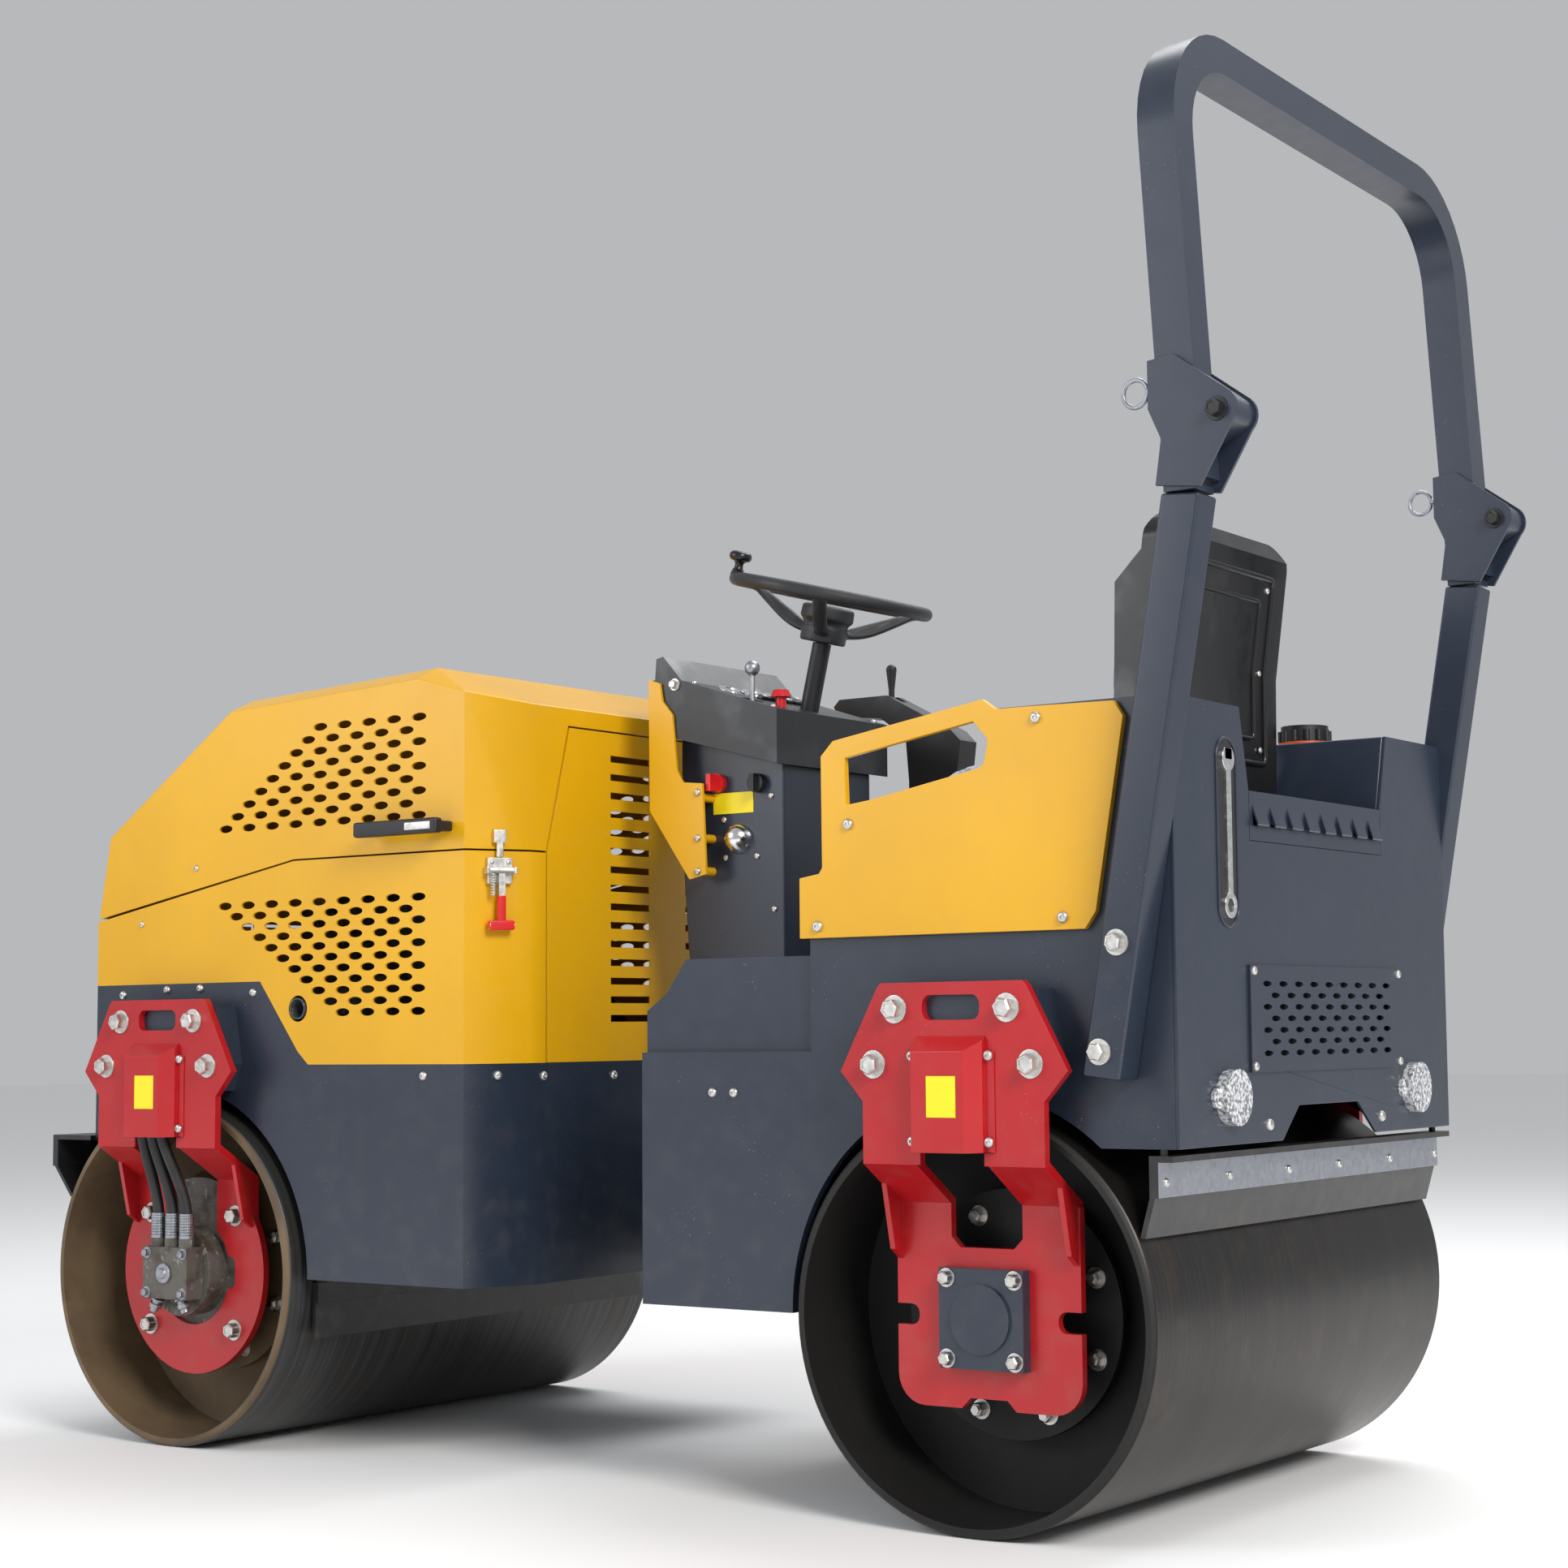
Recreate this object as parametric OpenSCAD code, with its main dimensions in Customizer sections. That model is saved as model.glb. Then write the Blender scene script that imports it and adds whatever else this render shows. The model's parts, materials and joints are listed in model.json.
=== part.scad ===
// Compact ride-on tandem road roller with a folding roll bar and an opening hood.
// The front of the machine points along -X, its left side along -Y, and +Z is up.
// The origin lies on the ground below the middle of the machine's bounding box.
// Shapes near a drum are drawn about that drum's axle, and heights there count from the axle.

/* [Drums] */
// Outer diameter of each steel drum
drum_d = 560; // [540:5:580]
// Width of each drum
drum_w = 900; // [880:5:910]
// Wall of the rolled drum shell
drum_wall = 14; // [10:1:18]
// Distance between the two axles
wheelbase = 1555; // [1545:5:1620]

/* [Frames] */
// Width over the side plates of both frames
frame_w = 860; // [850:5:866]
// Thickness of the side plates
plate_t = 12; // [8:1:14]
// Radial gap between a drum and the wheel arch above it
arch_gap = 20; // [12:1:26]
// Height of the operator's floor above the axle
floor_rise = 342; // [334:1:348]

/* [Hood] */
// Height of the hood's top edge above the axle
hood_rise = 937; // [925:1:960]
// Sheet thickness of the hood and body panels
sheet_t = 4; // [3:0.5:6]
// Width of the bevel along the hood's top edges
bevel_w = 46; // [30:1:60]

/* [Operator's place] */
// Height of the seat cushion above the floor
seat_rise = 425; // [410:1:432]
// Width of the seat
seat_w = 400; // [360:2:402]
// Outer diameter of the steering wheel
wheel_d = 330; // [300:2:350]
// Diameter of the steering wheel's rim
rim_d = 22; // [18:0.5:26]
// Lean of the steering column
column_lean = 14; // [10:1:16]

/* [Roll bar] */
// Height of the roll bar's top above the axle
bar_rise = 1690; // [1640:5:1740]
// Depth of the roll bar's tube along the machine
bar_depth = 54; // [48:1:58]
// Width of the roll bar's tube across the machine
bar_tube = 50; // [46:1:52]
// Outer radius of the roll bar's top corners
bar_corner = 160; // [130:5:200]

/* [Drum brackets] */
// Thickness of the bracket plates
bracket_t = 12; // [8:1:14]
// Distance from the frame's side to the bracket plate
bracket_off = 40; // [36:1:44]
// Width of a bracket at its widest
bracket_w = 356; // [330:2:370]

/* [Hidden] */

$fn = 48;
// One overrun serves every cut
over = 2;
// Running clearance of a shaft in its bore, on the radius
run_c = 0.05;
// Gap between neighbouring pieces that don't touch
fit_gap = 0.4;
// Gap under a piece that rests on the one that carries it
seat_gap = 0.3;
// Gap of the shut lines between body panels
shut_gap = 3;
axle_z = drum_d / 2;
arch_r = axle_z + arch_gap;
half_w = frame_w / 2;
inner_w = half_w - plate_t;
bar_w = frame_w + 2 * bar_tube;

// Reach of the machine behind the rear axle and ahead of the front axle
hinge_x = 412;
hinge_z = 1153;
cheek_round = 28;
front_scraper_reach = 311;
rear_reach = hinge_x + cheek_round;
rear_axle_x = (wheelbase + front_scraper_reach - rear_reach) / 2;
front_axle_x = rear_axle_x - wheelbase;
joint_x = -wheelbase / 2;

function pick(a, b, share) = a + (b - a) * share;
function arc(cx, cy, r, a0, a1, steps) =
  [for (i = [0 : steps]) [cx + r * cos(pick(a0, a1, i / steps)), cy + r * sin(pick(a0, a1, i / steps))]];
function mirrored(pts) = [for (i = [len(pts) - 1 : -1 : 0]) [-pts[i][0], pts[i][1]]];

module rear_place() translate([rear_axle_x, 0, axle_z]) children();
module front_place() translate([front_axle_x, 0, axle_z]) children();
module both_sides() {
  children();
  mirror([0, 1, 0]) children();
}
// An XZ outline made into a plate on the left side, from y_in outwards by t
module side_slab(y_in, t) translate([0, -y_in, 0]) rotate([90, 0, 0]) linear_extrude(t) children();
// A YZ outline made into a plate from x forwards along +X by t
module cross_slab(x, t) translate([x, 0, 0]) rotate([90, 0, 90]) linear_extrude(t) children();
// A block given by its lowest and highest corners
module block(low, high) translate(low) cube(high - low);
// A round bar along Y from y0 to y1
module bar_y(x, z, r, y0, y1) translate([x, y1, z]) rotate([90, 0, 0]) cylinder(r = r, h = y1 - y0);
// A round bar along X from x0 to x1
module bar_x(y, z, r, x0, x1) translate([x0, y, z]) rotate([0, 90, 0]) cylinder(r = r, h = x1 - x0);
// A straight tube or rod between two points
module rod(a, b, r) {
  d = b - a;
  translate(a) rotate([0, acos(d[2] / norm(d)), atan2(d[1], d[0])]) cylinder(r = r, h = norm(d));
}

function unit(v) = v / norm(v);
function along(route, i) = unit(route[min(i + 1, len(route) - 1)] - route[max(i - 1, 0)]);
// A round tube swept along a route that mainly climbs
module tube(route, r, sides = 16) {
  rings = [for (i = [0 : len(route) - 1]) let (t = along(route, i), u = unit(cross(t, [1, 0, 0])),
    v = cross(t, u))
    for (k = [0 : sides - 1]) route[i] + r * (u * cos(k * 360 / sides) + v * sin(k * 360 / sides))];
  n = len(route);
  polyhedron(rings, concat([[for (k = [0 : sides - 1]) k]],
    [for (i = [0 : n - 2], k = [0 : sides - 1]) let (a = i * sides, j = (k + 1) % sides)
      each [[a + k, a + sides + k, a + sides + j], [a + k, a + sides + j, a + j]]],
    [[for (k = [sides - 1 : -1 : 0]) (n - 1) * sides + k]]));
}

// Drums, exciters and what carries them

web_y = 296;
web_t = 12;
hub_y = 334;
hub_r = 168;
hub_t = 12;
isolator_r = 19;
isolator_pcd = 140;
isolator_count = 8;
stub_r = 30;
carrier_y = 400;
housing_r = 74;
housing_wall = 6;
exciter_r = 22;
exciter_half = 262;
exciter_weight_r = 58;
exciter_weight_half = 150;
exciter_bush_t = 24;
edge_bevel = 6;
bearing_flange_t = 18;
motor_snout_y = 344;
motor_snout_t = 32;

// A drum with its hub discs on rubber isolators; motor_side is the side that the motor drives
module drum(motor_side) {
  difference() {
    union() {
      rotate([90, 0, 0]) rotate_extrude($fn = 96) polygon([
        [axle_z - drum_wall, -drum_w / 2], [axle_z - edge_bevel, -drum_w / 2],
        [axle_z, edge_bevel - drum_w / 2], [axle_z, drum_w / 2 - edge_bevel],
        [axle_z - edge_bevel, drum_w / 2], [axle_z - drum_wall, drum_w / 2]]);
      for (s = [-1, 1]) {
        bar_y(0, 0, axle_z - drum_wall / 2, s * (web_y - web_t / 2) - web_t / 2,
          s * (web_y - web_t / 2) + web_t / 2);
        bar_y(0, 0, hub_r, s * (hub_y - hub_t / 2) - hub_t / 2, s * (hub_y - hub_t / 2) + hub_t / 2);
        for (i = [0 : isolator_count - 1]) rotate([0, i * 360 / isolator_count, 0])
          translate([isolator_pcd, s * (web_y + hub_y - hub_t) / 2, 0]) rotate([90, 0, 0])
            cylinder(r = isolator_r, h = hub_y - hub_t - web_y + web_t, center = true, $fn = 14);
      }
      bar_y(0, 0, housing_r, -web_y + web_t / 2, web_y - web_t / 2);
      scale([1, motor_side, 1]) {
        bar_y(0, 0, stub_r, hub_y - hub_t / 2, motor_snout_y + motor_snout_t - fit_gap);
        mirror([0, 1, 0]) bar_y(0, 0, stub_r, hub_y - hub_t / 2, carrier_y + bearing_flange_t / 2);
      }
    }
    bar_y(0, 0, housing_r - housing_wall, -exciter_half - exciter_bush_t + web_t,
      exciter_half + exciter_bush_t - web_t);
  }
  for (s = [-1, 1]) difference() {
    bar_y(0, 0, housing_r - housing_wall, s * (exciter_half - exciter_bush_t) - exciter_bush_t / 2,
      s * (exciter_half - exciter_bush_t) + exciter_bush_t / 2);
    bar_y(0, 0, exciter_r + run_c, -exciter_half, exciter_half);
  }
}

module exciter() {
  bar_y(0, 0, exciter_r, -exciter_half, exciter_half);
  difference() {
    bar_y(0, 0, exciter_weight_r, -exciter_weight_half, exciter_weight_half);
    block([-exciter_weight_r - over, -exciter_weight_half - over, 0],
      [exciter_weight_r + over, exciter_weight_half + over, exciter_weight_r + over]);
  }
}

// Brackets that carry the drums: a bolted upper plate, two legs that step inwards, and a lower plate

bracket_clear = 20;
bracket_in = max(half_w + bracket_off, drum_w / 2 + bracket_clear);
bracket_out = bracket_in + bracket_t;
bracket_top = 445;
bracket_top_half_share = 0.66;
bracket_side_z = 328;
bracket_neck_z = 288;
leg_out = 142;
leg_in = 56;
leg_bend_high = 205;
leg_bend_low = 150;
lower_top = 156;
lower_half = 144;
lower_low = -120;
lower_corner = 42;
throat_z = 92;
notch_rise = 14;
notch_deep = 35;
window_half = 50;
window_high = 350;
hand_slot_half = 45;
hand_slot_low = 395;
hand_slot_high = 428;
gusset_t = 8;
gusset_low = 74;
gusset_y = 40;

module bracket_plate_outline() {
  half = [[leg_in, leg_bend_high], [leg_out, leg_bend_high], [leg_out, bracket_neck_z],
    [bracket_w / 2, bracket_side_z], [bracket_w / 2 * bracket_top_half_share, bracket_top - edge_bevel],
    [bracket_w / 2 * bracket_top_half_share - edge_bevel, bracket_top]];
  difference() {
    polygon(concat(half, mirrored(half)));
    translate([-window_half, leg_bend_high - over]) square([2 * window_half, window_high - leg_bend_high]);
    translate([-hand_slot_half, hand_slot_low]) square([2 * hand_slot_half, hand_slot_high
      - hand_slot_low]);
  }
}

// The step from the upper plate's plane into the lower plate's, as a YZ section
module leg_section() polygon([[bracket_out, leg_bend_high + over], [bracket_out, leg_bend_high],
  [carrier_y, leg_bend_low], [carrier_y, leg_bend_low - over], [carrier_y - bracket_t, leg_bend_low - over],
  [carrier_y - bracket_t, lower_top], [bracket_in, leg_bend_high + bracket_t / 2],
  [bracket_in, leg_bend_high + over + bracket_t / 2]]);

module bearing_plate_outline() {
  half = concat([[lower_notch, lower_low + notch_rise], [lower_notch + notch_rise, lower_low]],
    arc(lower_half - lower_corner, lower_low + lower_corner, lower_corner, -90, 0, 6),
    [[lower_half, -notch_rise], [lower_half - notch_deep, -notch_rise],
    [lower_half - notch_deep, notch_rise], [lower_half, notch_rise],
    [lower_half, leg_bend_low], [leg_in, leg_bend_low], [leg_in, throat_z + notch_rise],
    [leg_in - notch_rise, throat_z]]);
  difference() {
    polygon(concat(half, mirrored(half)));
    circle(r = stub_r + bearing_seat_gap);
  }
}
lower_notch = 29;
bearing_seat_gap = 12;

ring_r = 168;
ring_hole_r = 88;
ring_notch = 26;
module ring_plate_outline() difference() {
  union() {
    circle(r = ring_r);
    for (s = [-1, 1]) scale([s, 1]) polygon([[leg_in, 0], [leg_out, 0], [leg_out, leg_bend_low],
      [leg_in, leg_bend_low]]);
  }
  circle(r = ring_hole_r);
  translate([-leg_in, 0]) square([2 * leg_in, ring_r + over]);
  translate([-ring_hole_r - ring_notch / 2, -ring_notch]) square([2 * ring_hole_r + ring_notch,
    2 * ring_notch]);
}

module one_bracket() {
  side_slab(bracket_in, bracket_t) bracket_plate_outline();
  for (s = [-1, 1]) scale([s, 1, 1]) {
    translate([leg_in, 0, 0]) mirror([0, 1, 0]) cross_slab(0, leg_out - leg_in) leg_section();
    translate([leg_out - gusset_t, 0, 0]) mirror([0, 1, 0]) cross_slab(0, gusset_t) polygon([
      [carrier_y, gusset_low], [carrier_y + gusset_y / 2, gusset_low + notch_rise],
      [carrier_y + gusset_y, leg_bend_low + gusset_y * leg_slope], [carrier_y, leg_bend_low]]);
  }
  side_slab(carrier_y - bracket_t, bracket_t) children();
}
leg_slope = (leg_bend_high - leg_bend_low) / (bracket_out - carrier_y);

// Both brackets of one axle; side is where the bearing sits, -1 on the left and 1 on the right
module bracket_pair(side) scale([1, -side, 1]) {
  one_bracket() bearing_plate_outline();
  mirror([0, 1, 0]) one_bracket() ring_plate_outline();
}

// A folded cover over the window in a bracket, open at its foot for the hoses
cover_half = 66;
cover_box_half = 54;
cover_deep = 26;
cover_low = 222;
cover_high = 374;
cover_bevel = 20;
module cover_solid(inset) intersection() {
  translate([0, 0, cover_low - inset]) linear_extrude(cover_high - cover_low) polygon([
    [inset - cover_box_half, -bracket_out + inset], [inset - cover_box_half, -bracket_out - cover_deep / 3],
    [cover_bevel / 3 - cover_box_half + inset, inset - bracket_out - cover_deep],
    [cover_box_half - cover_bevel, inset - bracket_out - cover_deep],
    [cover_box_half - inset, -bracket_out - cover_deep / 3], [cover_box_half - inset, inset
      - bracket_out]]);
  mirror([0, 1, 0]) cross_slab(-cover_half, 2 * cover_half) polygon([[bracket_out - inset, cover_low
    - over],
    [bracket_out + cover_deep - inset, cover_low - over],
    [bracket_out + cover_deep - inset, cover_high - cover_bevel - inset],
    [bracket_out - inset, cover_high - inset]]);
}
module bracket_covers() both_sides() {
  difference() {
    union() {
      cover_solid(0);
      for (s = [-1, 1]) block([s * (cover_half + cover_box_half) / 2 - (cover_half - cover_box_half) / 2
        - sheet_t / 2,
        -bracket_out - sheet_t / 2, cover_low], [s * (cover_half + cover_box_half) / 2
        + (cover_half - cover_box_half) / 2 + sheet_t / 2, -bracket_out, cover_high - cover_bevel]);
    }
    cover_solid(sheet_t / 2);
    block([-cover_box_half + sheet_t, -bracket_out - cover_deep + sheet_t, cover_low - over],
      [cover_box_half - cover_bevel, -bracket_out + over, cover_low + over]);
  }
}

// The block that stands a bracket off the frame's side
module standoff() side_slab(half_w - over / 2, bracket_in - half_w + over / 2) polygon([[-standoff_half,
  standoff_low],
  [standoff_half, standoff_low], [standoff_half + standoff_point, standoff_mid],
  [standoff_half, standoff_high], [-standoff_half, standoff_high]]);
standoff_half = 128;
standoff_point = 18;
standoff_low = 296;
standoff_mid = 340;
standoff_high = 434;

// Hexagon bolts with washers on a bracket's upper plate
bolt_r = 13;
bolt_head_t = 13;
washer_r = 18;
washer_t = 3;
bolt_top_x = 88;
bolt_top_z = 410;
bolt_low_x = 123;
bolt_low_z = 337;
module hex_bolt() {
  cylinder(r = washer_r, h = washer_t, $fn = 18);
  cylinder(r = bolt_r, h = washer_t + bolt_head_t, $fn = 6);
}
module bracket_bolts() both_sides() for (s = [-1, 1], p = [[bolt_top_x, bolt_top_z], [bolt_low_x,
  bolt_low_z]])
  translate([s * p[0], -bracket_out, p[1]]) rotate([90, 0, 0]) hex_bolt();

// The drum's bearing cap, a square flange with a raised round
bearing_flange_w = 132;
bearing_boss_r = 46;
bearing_bolt_off = 53;
bearing_boss_t = 4;
stub_share = 0.7;
module bearing_unit(side) scale([1, -side, 1]) difference() {
  union() {
    side_slab(carrier_y, bearing_flange_t) translate([-bearing_flange_w / 2, -bearing_flange_w / 2])
      square(bearing_flange_w);
    bar_y(0, 0, bearing_boss_r, -carrier_y - bearing_flange_t - bearing_boss_t, -carrier_y);
    bar_y(0, 0, stub_r + bearing_seat_gap - fit_gap, -carrier_y - over, -carrier_y + bracket_t);
    for (x = [-1, 1], z = [-1, 1])
      translate([x * bearing_bolt_off, -carrier_y - bearing_flange_t, z * bearing_bolt_off])
        rotate([90, 0, 0]) cylinder(r = bolt_r - washer_t, h = bolt_head_t / 2, $fn = 6);
  }
  bar_y(0, 0, stub_r + run_c, -carrier_y - stub_share * bearing_flange_t, -carrier_y + bracket_t + over);
}

// A hydraulic wheel motor, its snout facing the drum, drawn on the side +Y
motor_body_r = 72;
motor_body_len = 40;
motor_head_w = 106;
motor_head_h = 84;
motor_head_t = 32;
motor_bolt_x = 101;
motor_bolt_z = 92;
motor_flange_r = 152;
port_step = 34;
port_r = 13;
port_len = 14;
module wheel_motor(side) scale([1, side, 1]) {
  y0 = carrier_y + motor_body_len - bracket_t;
  difference() {
    union() {
      bar_y(0, 0, motor_flange_r, motor_snout_y + motor_snout_t, carrier_y - bracket_t);
      bar_y(0, 0, 2 * stub_r, motor_snout_y, motor_snout_y + motor_snout_t);
      bar_y(0, 0, motor_body_r, carrier_y - bracket_t, y0);
    }
    bar_y(0, 0, stub_r + run_c, motor_snout_y - over, motor_snout_y + motor_snout_t);
  }
  block([-motor_head_w / 2, y0, -motor_head_h / 2], [motor_head_w / 2, y0 + motor_head_t,
    motor_head_h / 2]);
  for (s = [-1, 0, 1]) translate([s * port_step, y0 + motor_head_t / 2, motor_head_h / 2])
    cylinder(r = port_r, h = port_len, $fn = 6);
  for (x = [-1, 1], z = [-1, 1]) translate([x * motor_bolt_x, carrier_y, z * motor_bolt_z])
    rotate([-90, 0, 0]) cylinder(r = bolt_r, h = bolt_head_t, $fn = 6);
}

// Hoses from the motor's ports up under the bracket's cover
hose_r = 9;
hose_end_z = 262;
hose_steps = 9;
ferrule_r = 11.5;
ferrule_len = 40;
hose_sway = 20;
hose_top_step = 21.6;
module motor_hoses(side) scale([1, side, 1]) for (s = [-1, 0, 1]) {
  y0 = carrier_y + motor_body_len - bracket_t + motor_head_t / 2;
  z0 = motor_head_h / 2 + port_len;
  z1 = z0 + ferrule_len;
  hose_y = bracket_out + hose_r / 3;
  translate([s * port_step, y0, z0]) cylinder(r = ferrule_r, h = ferrule_len, $fn = 18);
  tube([for (i = [0 : hose_steps]) let (t = i / hose_steps, e = t * t * (3 - 2 * t))
    [pick(s * port_step, s * hose_top_step - hose_r, e) - hose_sway * t * (1 - t),
    pick(y0, hose_y, e), pick(z1, hose_end_z, t)]], hose_r);
}

// Scrapers: a bar on the frame, a clamping strip and a rubber blade against the drum
scraper_half = 440;
scraper_bar_z = 212;
scraper_bar_t = 8;
scraper_strip_low = 167;
blade_low = 116;
blade_t = 8;
blade_x = sqrt(axle_z * axle_z - blade_low * blade_low) + fit_gap;
strip_t = 5;
rear_scraper_reach = 283;
stud_r = 5;
inner_strip_h = 40;
inner_blade_h = 96;
inner_blade_x = axle_z + 2 * fit_gap;
inner_half = 400;
module outer_scraper(frame_x, reach) {
  low_x = min(frame_x, reach - strip_t - blade_t);
  block([low_x, -scraper_half, scraper_bar_z], [max(frame_x, reach), scraper_half, scraper_bar_z
    + scraper_bar_t]);
  block([reach - strip_t, -scraper_half, scraper_strip_low], [reach, scraper_half, scraper_bar_z]);
  side_slab(-scraper_half, 2 * scraper_half) polygon([[blade_x, blade_low], [blade_x + blade_t, blade_low],
    [reach - strip_t, scraper_strip_low], [reach - strip_t, scraper_bar_z], [reach - strip_t - blade_t,
      scraper_bar_z],
    [reach - strip_t - blade_t, scraper_strip_low]]);
}
module inner_scraper(keel) mirror([1, 0, 0]) {
  x1 = inner_blade_x + blade_t;
  block([x1, -inner_half, keel - scraper_bar_t], [arch_r + plate_t, inner_half, keel]);
  block([x1, -inner_half, keel - inner_strip_h], [x1 + strip_t, inner_half, keel]);
  block([inner_blade_x, -inner_half, keel - inner_blade_h], [x1, inner_half, keel - scraper_bar_t]);
}

// Front module: side outlines and plan outline that its frame, body and hood share

nose_x = -213;
joint_gap = 92.5;
face_x = wheelbase / 2 - joint_gap;
tail_run = 50;
tail_x = face_x - tail_run;
chamfer_in = 97;
chamfer_y = half_w - chamfer_in;
chamfer_share = 0.6;
step_z = 472;
skirt_drop = 4;
skirt_z = floor_rise - skirt_drop;
step_x0 = 186;
step_x1 = 274;
step_x2 = 298;
step_lift = 21;
step_mid_z = skirt_z + step_lift;
split_front_z = 583;
split_rear_z = 667;
split_bend_x = 261;
brow_x = -184;
brow_drop = 213;
brow_z = hood_rise - brow_drop;
crown_x = 110;
crown_drop = 20;
crown_z = hood_rise - crown_drop;
ridge_run = 100;
ridge_x = tail_x - ridge_run;
ridge_rise = 22;
tail_drop = 27;
hood_tail_z = hood_rise - tail_drop;
face_drop = 41;
face_top_z = hood_rise - face_drop;
hood_under = 48;
deck_slot = 60;
deck_t = 8;
osc_z = 150;
osc_r = 35;
housing_len = 90;
osc_housing_r = 62;

module plan_outline(inset) {
  half = [[face_x - inset, -chamfer_y + inset * chamfer_share], [face_x - inset, chamfer_y
    - inset * chamfer_share],
    [tail_x - inset * chamfer_share, half_w - inset], [nose_x + inset, half_w - inset]];
  polygon(concat(half, [[nose_x + inset, -half_w + inset], [tail_x - inset * chamfer_share, -half_w
    + inset]]));
}

// The navy frame's side outline, below the yellow body
module front_side_outline() difference() {
  polygon([[nose_x - over, 0], [nose_x - over, step_z], [step_x0, step_z], [step_x1, step_mid_z],
    [step_x2, skirt_z], [face_x + over, skirt_z], [face_x + over, 0]]);
  circle(r = arch_r, $fn = 96);
}

module front_frame() color("darkslategray") front_place() {
  difference() {
    union() {
      intersection() {
        linear_extrude(step_z) difference() {
          plan_outline(0);
          plan_outline(plate_t);
        }
        side_slab(-half_w, frame_w) front_side_outline();
      }
      translate([0, 0, arch_r]) linear_extrude(deck_t) plan_outline(plate_t - over / 2);
      block([arch_r, -inner_w - over / 2, 0], [arch_r + plate_t, inner_w + over / 2, arch_r + over]);
      bar_x(0, osc_z, osc_housing_r, face_x - housing_len, face_x);
      both_sides() standoff();
    }
    bar_x(0, osc_z, osc_r + run_c, face_x - housing_len - over, face_x + over);
    block([nose_x + plate_t, -half_w / 2, arch_r - over], [nose_x + deck_slot, half_w / 2, arch_r
      + deck_t + over]);
  }
}

module body_side_outline() polygon([[nose_x - over, step_z], [step_x0, step_z], [step_x1, step_mid_z],
  [step_x2, skirt_z], [face_x + over, skirt_z], [face_x + over, split_rear_z - shut_gap],
  [split_bend_x, split_rear_z - shut_gap], [nose_x - over, split_front_z - shut_gap]]);

// The opening in the rear face that the centre cover fills
cover_foot_y = 300;
cover_top_y = 247;
cover_top_z = 868;
module tail_opening(gap) cross_slab(face_x - 2 * plate_t, 4 * plate_t) polygon([
  [gap - cover_foot_y, skirt_z - over], [gap - cover_foot_y, split_rear_z], [gap - cover_top_y,
    cover_top_z - gap],
  [cover_top_y - gap, cover_top_z - gap], [cover_foot_y - gap, split_rear_z], [cover_foot_y - gap,
    skirt_z - over]]);

hood_pin_r = 5;
hood_pin_in = 10;
hood_pin_x = nose_x + hood_pin_in;
hood_pin_drop = 20;
hood_pin_z = split_front_z - hood_pin_drop;
hood_pin_half = 120;
hood_ear_y = 84;
hood_ear_t = 12;
hood_ear_w = 12;
latch_z = 633;
latch_w = 40;
module on_chamfer(z) translate([(tail_x + face_x) / 2, -(half_w + chamfer_y) / 2, z])
  rotate(atan2(half_w - chamfer_y, face_x - tail_x)) children();

module lower_body() color("gold") front_place() {
  difference() {
    intersection() {
      linear_extrude(split_rear_z) difference() {
        plan_outline(0);
        plan_outline(sheet_t);
      }
      side_slab(-half_w, frame_w) body_side_outline();
    }
    tail_opening(0);
    bar_y(pipe_x, pipe_z, tail_r + sheet_t, -half_w - over, -half_w + over + sheet_t);
    both_sides() block([nose_x - over, -hood_ear_y - hood_ear_t / 2 - shut_gap, hood_pin_z - 2 * hood_pin_r],
      [nose_x + sheet_t + over, -hood_ear_y + hood_ear_t / 2 + shut_gap, split_front_z]);
  }
  bar_y(hood_pin_x, hood_pin_z, hood_pin_r, -hood_pin_half, hood_pin_half);
  for (s = [-1, 1]) translate([0, s * hood_pin_half, 0]) block([nose_x + sheet_t - over / 2,
    -hood_ear_t / 2,
    hood_pin_z - 2 * hood_pin_r], [hood_pin_x + 2 * hood_pin_r, hood_ear_t / 2, hood_pin_z + hood_pin_r]);
  on_chamfer(latch_z) {
    block([-latch_w / 2, -latch_base_t, -latch_w / 2], [latch_w / 2, sheet_t / 2, latch_w / 2]);
    translate([0, -latch_off, 0]) bar_x(0, 0, latch_pin_r, -latch_w / 2 - latch_lug_t, latch_w / 2
      + latch_lug_t);
    for (s = [-1, 1]) translate([s * (latch_w + latch_lug_t) / 2, 0, 0]) block([-latch_lug_t / 2,
      -latch_off - latch_arm_w / 2, -latch_arm_w / 2], [latch_lug_t / 2, sheet_t / 2, latch_arm_w / 2]);
  }
}
latch_base_t = 9;
latch_hook = 32;

// The toggle latch's lever with its grip, hinged on the base
latch_pin_r = 3;
latch_arm = 84;
latch_arm_w = 10;
latch_grip_r = 7;
latch_off = latch_base_t + fit_gap + latch_arm_w / 2;
latch_lug_t = 4;
module latch_lever() color("firebrick") front_place() on_chamfer(latch_z) translate([0, -latch_off, 0]) {
  difference() {
    bar_x(0, 0, latch_arm_w / 2, -latch_w / 2 + fit_gap, latch_w / 2 - fit_gap);
    bar_x(0, 0, latch_pin_r + run_c, -latch_w, latch_w);
  }
  block([-latch_arm_w / 2, -latch_arm_w / 2, -latch_arm], [latch_arm_w / 2, latch_arm_w / 2 - over,
    fit_gap - latch_arm_w / 2]);
  translate([0, 0, -latch_arm]) rotate([0, 90, 0]) cylinder(r = latch_grip_r, h = latch_w, center = true,
    $fn = 20);
}

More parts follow.
